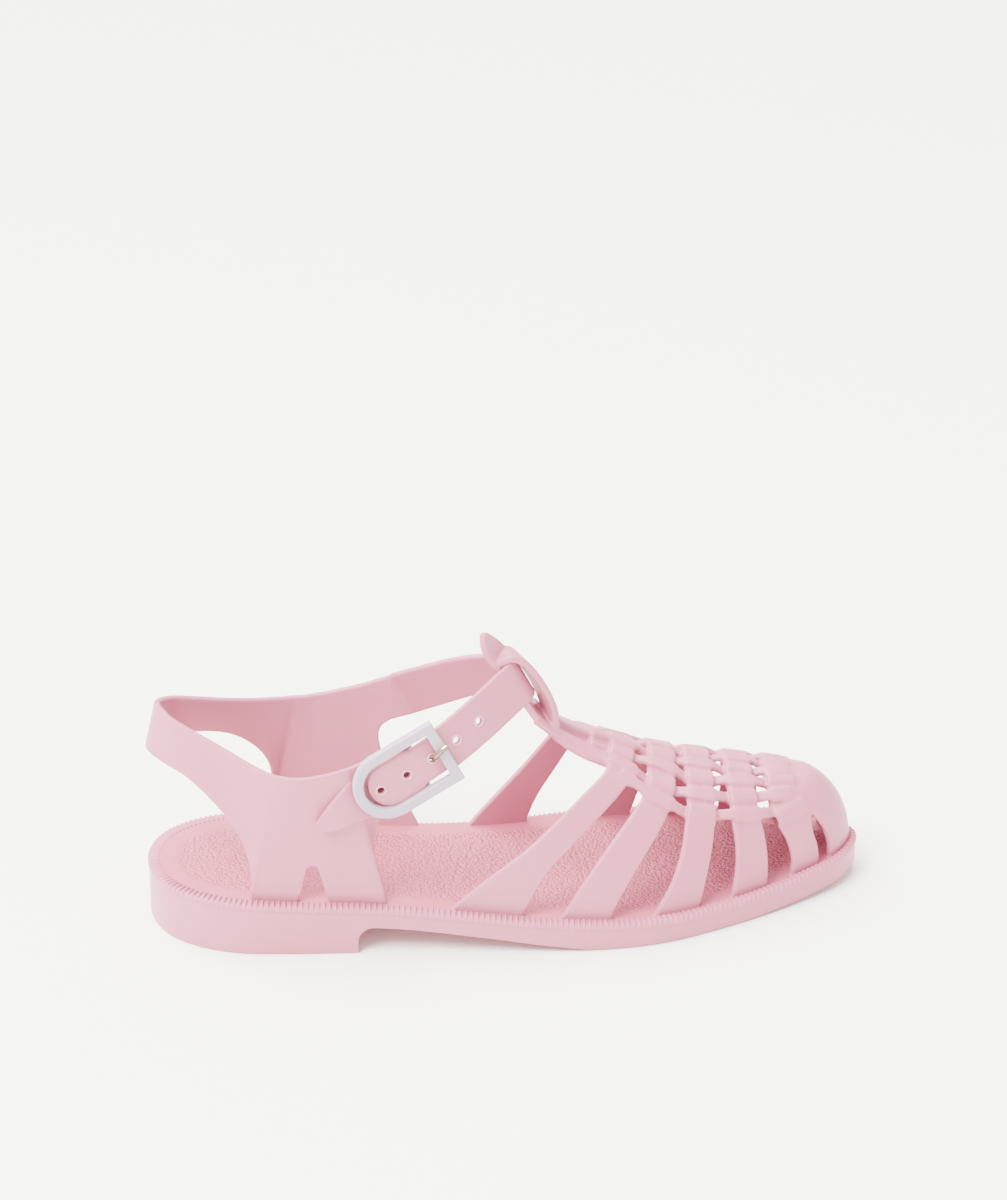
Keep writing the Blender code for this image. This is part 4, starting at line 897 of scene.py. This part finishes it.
def fused(name, bodies, voxel, passes):
    """One moulded body from overlapping ones, with small fillets where they meet."""
    obj = merged(name, bodies)
    remesh = obj.modifiers.new("remesh", "REMESH")
    remesh.mode = "VOXEL"
    remesh.voxel_size = voxel
    settle(obj)
    drop_specks(obj.data)
    relax(obj.data, passes)
    count = 2 * len(obj.data.polygons)
    if count > MOST_TRIANGLES:
        obj.modifiers.new("thin", "DECIMATE").ratio = MOST_TRIANGLES / count
        settle(obj)
    obj.data.shade_smooth()
    return obj


def drop_specks(mesh):
    """Takes out the loose parts of a few faces that the voxels leave."""
    bm = bmesh.new()
    bm.from_mesh(mesh)
    left = set(bm.faces)
    specks = []
    while left:
        part = [left.pop()]
        for face in part:
            for near in (f for edge in face.edges for f in edge.link_faces):
                if near in left:
                    left.remove(near)
                    part.append(near)
        if len(part) < SPECK_FACES:
            specks += part
    bmesh.ops.delete(bm, geom=specks, context="FACES")
    bm.to_mesh(mesh)
    bm.free()


def relax(mesh, passes):
    """Evens out a dense mesh without shrinking it."""
    count = len(mesh.vertices)
    co = np.empty(count * 3)
    mesh.vertices.foreach_get("co", co)
    co = co.reshape(-1, 3)
    edges = np.empty(len(mesh.edges) * 2, dtype=np.int64)
    mesh.edges.foreach_get("vertices", edges)
    a, b = edges[0::2], edges[1::2]
    degree = np.bincount(a, minlength=count) + np.bincount(b, minlength=count)
    for k in range(passes * 2):
        weight = RELAX_WEIGHTS[k % 2]
        total = np.empty_like(co)
        for axis in range(3):
            total[:, axis] = (np.bincount(a, co[b, axis], count)
                              + np.bincount(b, co[a, axis], count))
        co = co + weight * (total / degree[:, None] - co)
    mesh.vertices.foreach_set("co", co.ravel())
    mesh.update()


def round_sole():
    """Sole block with rounded edges, cut under the shank."""
    soft = EDGE_ROUND
    layers = [(soft * 1.6, False, spring), (soft * 0.5, False, lambda x: spring(x) + soft * 0.3),
              (RIM_STEP * 0.6, False, lambda x: spring(x) + soft * 1.2),
              (RIM_STEP, False, lambda x: rim_height(x) - RIM_LIP - RIM_STEP),
              (0.0, False, lambda x: rim_height(x) - RIM_LIP),
              (0.0, False, lambda x: rim_height(x) - soft)]
    for k in range(1, 4):
        turn = math.pi / 2 * k / 3
        layers.append((soft * (1 - math.cos(turn)), False,
                       lambda x, t=turn: rim_height(x) - soft * (1 - math.sin(t))))
    layers += [(-0.0004, True, rim_height), (0.0, True, lambda x: rim_height(x) - 0.0002),
               (0.0, True, lambda x: rim_height(x) - RECESS_DEPTH)]
    verts = np.vstack([edge_ring(*layer) for layer in layers])
    size = 2 * EDGE_STEPS
    faces = grid_faces(len(layers), size, around=True)
    faces += cap_faces(0, True) + cap_faces((len(layers) - 1) * size, False)
    body = mesh_object("sole_block", verts, faces)
    boolean(body, shank_tool(), "DIFFERENCE")
    body.data.shade_smooth()
    body.data.set_sharp_from_angle(angle=math.radians(38))
    return body


def shank_tool():
    """Prism that clears the underside between the heel breast and the ball."""
    breast = BREAST_PLACE * SOLE_LENGTH
    depth = -CUT_PAST
    radius = SHANK_RISE - BREAST_STRAIGHT
    profile = [(breast, depth), (breast, BREAST_STRAIGHT)]
    for k in range(1, 13):
        turn = math.pi / 2 * k / 12
        profile.append((breast + radius * (1 - math.cos(turn)),
                        BREAST_STRAIGHT + radius * math.sin(turn)))
    start = (breast + radius) / SOLE_LENGTH
    for share in np.linspace(start, SHANK_END, 60)[1:]:
        profile.append((share * SOLE_LENGTH, SHANK_RISE * float(smooth(SIDE, 2, share))))
    profile.append((SHANK_END * SOLE_LENGTH, depth))
    rings = [[(x, y, z) for x, z in profile] for y in (-BALL_WIDTH, BALL_WIDTH)]
    return loft("shank_tool", rings)


# Ribs on the rim: pitch, width, height, and how far they stay from the rim's edges
RIB_PITCH = 0.00196
RIB_WIDTH = 0.00108
RIB_HEIGHT = 0.00095
RIB_MARGIN = 0.00022
# How much lower they are at the back of the heel, over what x share, and on the medial side
RIB_LOW_HEEL = 0.3
RIB_HEEL_SHARE = 0.03
RIB_LOW_MEDIAL = 0.6
# One rib: shares of its length and height from the sole's edge inwards, and its round section
RIB_PROFILE = [(0.0, -1.6), (0.03, -0.35), (0.12, 0.9), (0.5, 1.0), (0.9, 0.95), (0.98, 0.6),
               (1.0, -0.6)]
RIB_SECTION = [(-0.5, -0.5), (-0.36, 0.55), (0.0, 1.0), (0.36, 0.55), (0.5, -0.5)]
RIB_OVERHANG = 0.0001


def rim_ribs():
    """Short rounded ridges across the rim, all round the sole."""
    loop = np.vstack([OUTER, OUTER[:1]])
    run = run_lengths(loop)
    count = int(run[-1] / RIB_PITCH)
    verts, faces = [], []
    for k in range(count):
        place = run[-1] * k / count
        p, after, before = [point_at((place + step) % run[-1], run, loop)
                            for step in (0.0, 0.001, -0.001)]
        ahead = unit(after - before)
        inward = np.array([-ahead[1], ahead[0]])
        far = rim_width(p[0]) - RIB_MARGIN
        fade = np.clip((p[0] / SOLE_LENGTH + 0.5) / RIB_HEEL_SHARE, RIB_LOW_HEEL, 1.0)
        fade *= 1.0 if p[1] < 0 else RIB_LOW_MEDIAL
        start = len(verts)
        for depth, height in RIB_PROFILE:
            at = p + inward * (depth * (far + RIB_OVERHANG) - RIB_OVERHANG)
            z = float(rim_height(at[0]))
            for side, rise in RIB_SECTION:
                lift = RIB_HEIGHT * fade * (height if rise > 0 else -0.5 + min(height, 0.0))
                lift *= rise if rise > 0 and height > 0 else 1.0
                spot = at + ahead * side * RIB_WIDTH
                verts.append((spot[0], spot[1], z + lift))
        faces += grid_faces(len(RIB_PROFILE), len(RIB_SECTION), start)
    mesh = bpy.data.meshes.new("rim_ribs")
    mesh.from_pydata([tuple(v) for v in verts], [], faces)
    mesh.shade_smooth()
    return linked("rim_ribs", mesh)


FOOTBED_PROUD = 0.00018


def round_insole():
    """Insole that rises along the medial arch, with a smooth border and a grained middle."""
    columns = 60
    x, low, high = stations(0.0, True)
    c = (1 - np.cos(np.linspace(0, np.pi, columns))) / 2
    y = low[1:-1, None] + (high - low)[1:-1, None] * c
    medial = np.clip((c - ARCH_REACH) / (1 - ARCH_REACH), 0, 1) ** ARCH_CURVE
    top = rim_height(x) - RIM_STEP + FOOTBED_PROUD
    z = top[1:-1, None] + ARCH_RISE * arch_edge(x)[1:-1, None] * medial
    grid = np.stack([np.repeat(x[1:-1, None], columns, 1), y, z], -1)
    rows = EDGE_STEPS - 1
    verts = [tuple(v) for v in grid.reshape(-1, 3)]
    faces = grid_faces(rows, columns)
    heel, toe = len(verts), len(verts) + 1
    verts += [(x[0], low[0], top[0]), (x[-1], low[-1], top[-1])]
    end = (rows - 1) * columns
    for k in range(columns - 1):
        faces.append((heel, k, k + 1))
        faces.append((toe, end + k + 1, end + k))
    rim = list(range(0, rows * columns, columns)) + [toe]
    rim += list(range(end + columns - 1, -1, -columns)) + [heel]
    floor = len(verts)
    drop = RECESS_DEPTH - GAP
    verts += [(verts[i][0], verts[i][1], float(rim_height(verts[i][0])) - drop) for i in rim]
    for i in range(len(rim)):
        j = (i + 1) % len(rim)
        faces.append((rim[i], floor + i, floor + j, rim[j]))
    obj = mesh_object("footbed", verts, faces)
    obj.data.shade_smooth()
    edge = np.array([verts[i][:2] for i in rim])
    point_values(obj, "border", [np.min(np.linalg.norm(edge - np.array(v.co[:2]), axis=1))
                                 for v in obj.data.vertices])
    return obj


def point_values(obj, name, values):
    """Gives each point of a mesh a number that its material reads."""
    layer = obj.data.attributes.new(name, "FLOAT", "POINT")
    layer.data.foreach_set("value", np.array(values, dtype=np.float32))


def rod_along(name, line, across, radius, segments, ends=0.6):
    """Round wire along a line, its ends drawn in."""
    tangent = unit(np.gradient(line, axis=0))
    rings = []
    count = len(line)
    for k, p in enumerate(line):
        side = np.cross(tangent[k], across)
        near = min(k, count - 1 - k)
        r = radius * (ends, 0.85, 1.0)[min(near, 2)]
        rings.append(ring(p, side, across, r, segments))
    return loft(name, rings)


# How far the frame's legs lean in; how far the prong's end and its middle lie across the strap,
# and at which shares of FRAME_LENGTH; from what depth the prong gets painted shade in its hole, in
# PIN_DEPTH
LEG_SLANT = 0.0026
PRONG_SKEW, SKEW_START, SKEW_LENGTH = 0.0022, 0.335, 0.14
PRONG_DIP, DIP_MIDDLE, DIP_SPREAD = 0.0013, 0.305, 0.028
SUNK_FROM = 0.02
SUNK_FADE = 0.16


def round_frame():
    """D-shaped frame of rounded square section, with legs and a pin."""
    middle, along, across, outward = buckle_axes()
    length, half = FRAME_LENGTH / 2 - FRAME_BAR / 2, FRAME_WIDTH / 2 - FRAME_BAR / 2
    path = []
    for k in range(49):
        turn = math.pi / 2 + math.pi * k / 48
        path.append((-length + half + half * math.cos(turn), half * math.sin(turn)))
    path += [(length, -half), (length, half)]
    path = np.array(path)
    ahead = unit(np.roll(path, -1, 0) - path)
    tangent = unit(ahead + unit(path - np.roll(path, 1, 0)))
    mitre = 1 / np.sum(tangent * ahead, 1)
    side = np.stack([tangent[:, 1], -tangent[:, 0]], 1) * mitre[:, None]
    bar, deep, cut = FRAME_BAR / 2, FRAME_THICK / 2, FRAME_EDGE
    section = []
    for cx, cy, first in ((bar - cut, -deep + cut, -90), (bar - cut, deep - cut, 0),
                          (-bar + cut, deep - cut, 90), (-bar + cut, -deep + cut, 180)):
        for k in range(6):
            turn = math.radians(first + 18 * k)
            section.append((cx + cut * math.cos(turn), cy + cut * math.sin(turn)))
    rings = []
    for p, s in zip(path, side):
        rings.append([middle + along * (p[0] + s[0] * a) + across * (p[1] + s[1] * a) + outward * b
                      for a, b in section])
    bodies = [loft("frame_ring", rings, closed=True)]
    pin = buckle_pin()
    leg = LEG_WIDTH / 2
    for sign in (-1, 1):
        foot = pin + across * sign * (half - LEG_SLANT)
        bodies.append(rod("leg", foot, pin + across * sign * half + outward * PIN_DEPTH, leg, 24))
    reach = across * (half - LEG_SLANT)
    bodies.append(rod("pin", pin - reach, pin + reach, PIN_RADIUS, 24))
    return fused("buckle_ring", bodies, FINE * BUCKLE_VOXEL, 4)


def round_prong():
    """Bent wire from the pin through the strap's hole to the frame's front bar."""
    middle, along, across, outward = buckle_axes()
    points = []
    for u, n in PRONG:
        sideways = PRONG_SKEW * np.clip((u - SKEW_START) / SKEW_LENGTH, 0, 1)
        sideways -= PRONG_DIP * math.exp(-((u - DIP_MIDDLE) / DIP_SPREAD) ** 2)
        points.append(middle + along * u * FRAME_LENGTH + outward * n * PIN_DEPTH
                      + across * sideways)
    obj = rod_along("prong_wire", spline(points, 8), across, PRONG_RADIUS, 24)
    obj.data.shade_smooth()
    # Mask for the painted shade on the wire down in the hole, by its depth below the frame
    depth = [float(np.dot(np.array(v.co) - middle, outward)) / PIN_DEPTH for v in obj.data.vertices]
    point_values(obj, "painted_hole_shade", np.clip((SUNK_FROM - np.array(depth)) / SUNK_FADE, 0, 1))
    return obj


def hole_rims():
    """Small raised rims round the strap's holes."""
    bodies = []
    for k in range(HOLE_COUNT):
        p, outward = strap_hole(k)
        along = np.cross(outward, STRAP_AXIS)
        rings = []
        for radial in ring(0.0, along, STRAP_AXIS, 1.0, 40):
            centre = p + radial * (HOLE_RADIUS + RIM_BEAD * 0.9) + outward * STRAP_WALL / 2
            rings.append(ring(centre, radial, 0.8 * outward, RIM_BEAD, 12))
        bodies.append(loft("hole_rim", rings, closed=True))
    obj = merged("strap_hole_rims", bodies)
    obj.data.shade_smooth()
    return obj


RIM_BEAD = 0.00042


# Materials
def shader_of(name, **inputs):
    """A new material, its nodes and its main shader with its own numbers."""
    mat = bpy.data.materials.new(name)
    mat.use_nodes = True
    shader = mat.node_tree.nodes["Principled BSDF"]
    set_inputs(shader, inputs)
    return mat, mat.node_tree, shader


def set_inputs(node, inputs):
    for name, value in inputs.items():
        node.inputs[name.replace("_", " ")].default_value = value


def add(tree, kind, settings=(), **inputs):
    """A new shader node with its settings and the numbers of its sockets."""
    node = tree.nodes.new("ShaderNode" + kind)
    for name, value in dict(settings).items():
        setattr(node, name, value)
    set_inputs(node, inputs)
    return node


def join(tree, source, output, target, socket):
    tree.links.new(source.outputs[output], target.inputs[socket])


def noise(tree, scale, detail=2.0):
    """Noise in the piece's own metres."""
    cloud = add(tree, "TexNoise", Scale=scale, Detail=detail)
    join(tree, add(tree, "TexCoord"), "Object", cloud, "Vector")
    return cloud


def mottled(tree, shader, cloud, pale, deep):
    """Lets the shader's colour wander between two tones."""
    mix = add(tree, "Mix", {"data_type": "RGBA"}, A=(*pale, 1.0), B=(*deep, 1.0))
    join(tree, cloud, "Fac", mix, "Factor")
    join(tree, mix, "Result", shader, "Base Color")


def uneven(tree, shader, cloud, low, high):
    """Lets the shader's roughness wander between two values."""
    level = add(tree, "MapRange", To_Min=low, To_Max=high)
    join(tree, cloud, "Fac", level, "Value")
    join(tree, level, "Result", shader, "Roughness")


def raised(tree, shader, source, output, strength, distance):
    """Turns a height into the shader's relief."""
    bump = add(tree, "Bump", Strength=strength, Distance=distance)
    join(tree, source, output, bump, "Height")
    join(tree, bump, "Normal", shader, "Normal")
    return bump


def soft_plastic(name, tones, rough, grain, fleck, depth=0.12):
    """Satin moulded plastic: slight mottling in the colour, a very fine skin, soft light inside."""
    mat, tree, shader = shader_of(
        name, Subsurface_Weight=depth, Subsurface_Radius=(1.0, 0.45, 0.5),
        Subsurface_Scale=0.0016, IOR=1.5, Specular_IOR_Level=0.32)
    cloud = noise(tree, 55.0, 3.0)
    mottled(tree, shader, cloud, *tones)
    uneven(tree, shader, cloud, rough - 0.05, rough + 0.05)
    raised(tree, shader, noise(tree, fleck, 4.0), "Fac", grain, 0.0002)
    return mat


def footbed_plastic():
    """The same plastic in deeper tones that paint the shade of the recess, with close worm-like
    grain inside a smooth border.
    """
    mat = soft_plastic("pink_footbed", FOOTBED_SHADED_TONES, 0.46, 0.1, 2500.0)
    tree = mat.node_tree
    warp = noise(tree, 560.0)
    shift = add(tree, "VectorMath", {"operation": "MULTIPLY_ADD"})
    shift.inputs[1].default_value = (0.0012, 0.0012, 0.0)
    join(tree, warp, "Color", shift, 0)
    join(tree, add(tree, "TexCoord"), "Object", shift, 2)
    cells = add(tree, "TexVoronoi", Scale=820.0)
    join(tree, shift, "Vector", cells, "Vector")
    edge = add(tree, "Attribute", {"attribute_name": "border"})
    mask = add(tree, "MapRange", {"interpolation_type": "SMOOTHSTEP"},
               From_Min=0.0045, From_Max=0.0085)
    join(tree, edge, "Fac", mask, "Value")
    height = add(tree, "Math", {"operation": "MULTIPLY"})
    join(tree, cells, "Distance", height, 0)
    join(tree, mask, "Result", height, 1)
    raised(tree, tree.nodes["Principled BSDF"], height, "Value", 0.9, 0.0009).invert = True
    return mat


def milky_plastic():
    """Milky plastic that lets some light through."""
    mat, tree, shader = shader_of(
        "milky_buckle", Roughness=0.32, Subsurface_Weight=0.6, Subsurface_Radius=(1.0, 0.95, 1.0),
        Subsurface_Scale=0.004, Transmission_Weight=0.18, IOR=1.46)
    mottled(tree, shader, noise(tree, 160.0), *BUCKLE_TONES)
    return mat


def wire_metal():
    """Pale gold wire with painted light: painted shade below and on its flanks and a painted
    highlight higher up, by which way it faces, and painted shade darkest down in the hole.
    """
    mat, tree, shader = shader_of("pale_gold_wire", Metallic=1.0)
    uneven(tree, shader, noise(tree, 900.0), 0.14, 0.26)
    split = add(tree, "SeparateXYZ")
    join(tree, add(tree, "NewGeometry"), "Normal", split, "Vector")
    # Painted shade and painted highlight on the wire, chosen by which way its surface faces
    painted_light_ramp = add(tree, "ValToRGB")
    join(tree, split, "Z", painted_light_ramp, "Fac")
    stops = painted_light_ramp.color_ramp.elements
    for stop, (place, tone) in zip(stops, (WIRE_TONES[0], WIRE_TONES[-1])):
        stop.position, stop.color = place, (*tone, 1.0)
    for place, tone in WIRE_TONES[1:-1]:
        stops.new(place).color = (*tone, 1.0)
    # Painted shade in the hole, mixed into the wire's colour by that mask
    darker = add(tree, "Mix", {"data_type": "RGBA"}, B=(*HOLE_SHADE, 1.0))
    join(tree, add(tree, "Attribute", {"attribute_name": "painted_hole_shade"}), "Fac", darker, "Factor")
    join(tree, painted_light_ramp, "Color", darker, "A")
    join(tree, darker, "Result", shader, "Base Color")
    return mat


def paper_floor():
    mat, tree, shader = shader_of("pale_floor", Roughness=0.9, Specular_IOR_Level=0.1)
    mottled(tree, shader, noise(tree, 4.0), *FLOOR_TONES)
    return mat


PINK_TONES = ((0.468, 0.145, 0.216), (0.450, 0.132, 0.198))
# The footbed is the same pink made deeper: painted shade of the recess
FOOTBED_SHADED_TONES = ((0.470, 0.112, 0.170), (0.450, 0.096, 0.150))
RIM_TONES = ((0.580, 0.240, 0.310), (0.560, 0.225, 0.295))
BUCKLE_TONES = ((0.47, 0.375, 0.46), (0.43, 0.34, 0.43))
FLOOR_TONES = ((0.975, 0.975, 0.900), (0.965, 0.965, 0.890))
# The wire's painted light by facing, from facing down to facing up: painted shade below, a painted
# highlight higher up, and painted shade in the hole
WIRE_TONES = [(0.0, (0.16, 0.11, 0.07)), (0.40, (0.42, 0.33, 0.20)), (0.66, (0.80, 0.72, 0.56)),
              (0.84, (0.70, 0.60, 0.44)), (0.93, (0.22, 0.16, 0.10)), (1.0, (0.30, 0.23, 0.14))]
HOLE_SHADE = (0.045, 0.012, 0.012)


def dress(piece, mat, slot_name, *nodes):
    piece.data.materials.clear()
    piece.data.materials.append(mat)
    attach(piece, "root")
    if nodes:
        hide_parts(*nodes)


# The pieces. A web closes the T-bar's root between its middle strips.
WEB_SHARES = (0.062, 0.145)
WEB_TURN = 0.10
WEB_WIDTH = 0.0095
WEB_DROP = -0.0003
WEB_STEPS = 40
places = crossings()
vamp_bodies = [base_band()] + cross_straps(places) + long_strips(places) + [toe_cap()]
web = np.column_stack([np.linspace(*WEB_SHARES, WEB_STEPS), np.full(WEB_STEPS, WEB_TURN)])
vamp_bodies.append(surface_band("web", web, np.full(WEB_STEPS, WEB_WIDTH),
                                np.full(WEB_STEPS, WEB_DROP), 9))
vamp_bodies += [profile_band(name, rows) for name, rows in (("bar", BAR), ("band", BAND))]
vamp = fused("woven_vamp", vamp_bodies, FINE * VAMP_VOXEL, 5)
quarters = fused("quarters_and_strap", [quarter_and_strap()], FINE * QUARTER_VOXEL, 6)
tab = buckle_tab()
tab.name = "strap_tab"
tab.data.shade_smooth()
tab.data.set_sharp_from_angle(angle=math.radians(50))

pink = soft_plastic("pink_upper", PINK_TONES, 0.42, 0.12, 1800.0)
sole_pink = soft_plastic("pink_sole", PINK_TONES, 0.40, 0.10, 1500.0, 0.03)
for piece in (vamp, quarters, tab):
    dress(piece, pink, "upper_plastic", "upper")
pale_rim = soft_plastic("pink_hole_rim", RIM_TONES, 0.40, 0.08, 1800.0)
dress(hole_rims(), pale_rim, "upper_plastic")
dress(round_sole(), sole_pink, "sole_plastic", "sole")
dress(rim_ribs(), sole_pink, "sole_plastic")
dress(round_insole(), footbed_plastic(), "insole_plastic", "insole")
dress(round_frame(), milky_plastic(), "buckle_plastic", "buckle_frame")
dress(round_prong(), wire_metal(), "prong_metal", "buckle_prong")

# Floor, light and camera
bpy.ops.mesh.primitive_plane_add(size=6.0, location=(0.0, 0.0, -0.0001))
floor = bpy.context.object
floor.name = "floor"
floor.data.materials.append(paper_floor())


def turned(obj, axes, spot):
    """Turns an object's own axes along three directions and puts it in its place."""
    rows = [[*row, at] for row, at in zip(np.stack(axes, 1), spot)]
    obj.matrix_world = Matrix(rows + [[0, 0, 0, 1]])


# A large soft lamp up at the left, a wide soft light from above and a bright room
UP = np.array([0.0, 0.0, 1.0])
KEY_PLACE, KEY_AIM = np.array([-0.9, -0.7, 1.5]), np.array([0.0, 0.0, 0.04])
key = bpy.data.lights.new("key", "AREA")
key.shape = "DISK"
key.size = 1.0
key.energy = 100.0
key.color = (1.0, 0.995, 0.98)
back = unit(KEY_PLACE - KEY_AIM)
right = unit(np.cross(UP, back))
turned(linked("key", key), [right, np.cross(back, right), back], KEY_PLACE)
overhead = bpy.data.lights.new("overhead", "SUN")
overhead.energy = 12.6
overhead.angle = math.radians(70.0)
linked("overhead", overhead).rotation_euler = (math.radians(-14.0), math.radians(-20.0), 0.0)

world = bpy.data.worlds.new("studio")
bpy.context.scene.world = world
world.use_nodes = True
background = world.node_tree.nodes["Background"]
background.inputs["Color"].default_value = (1.0, 1.0, 0.99, 1.0)
background.inputs["Strength"].default_value = 1.98

# The camera looks from the photo's side and height; its pitch sets the sandal low in the picture
VIEW_CENTRE = np.array([-0.00197, -0.00541, 0.0393])
AZIMUTH, ELEVATION, DISTANCE = math.radians(-5.0), math.radians(30.5), 1.278
PITCH = math.atan2(205.0, 3625.0)
camera_data = bpy.data.cameras.new("camera")
camera_data.lens = 108.75
camera_data.sensor_width = 36.0
camera_data.clip_start = 0.05
camera = linked("camera", camera_data)
back = np.array([math.sin(AZIMUTH) * math.cos(ELEVATION), -math.cos(AZIMUTH) * math.cos(ELEVATION),
                 math.sin(ELEVATION)])
right = unit(np.cross(-back, UP))
ahead = -back * math.cos(PITCH) + np.cross(right, -back) * math.sin(PITCH)
turned(camera, [right, np.cross(right, ahead), -ahead], VIEW_CENTRE + back * DISTANCE)
bpy.context.scene.camera = camera
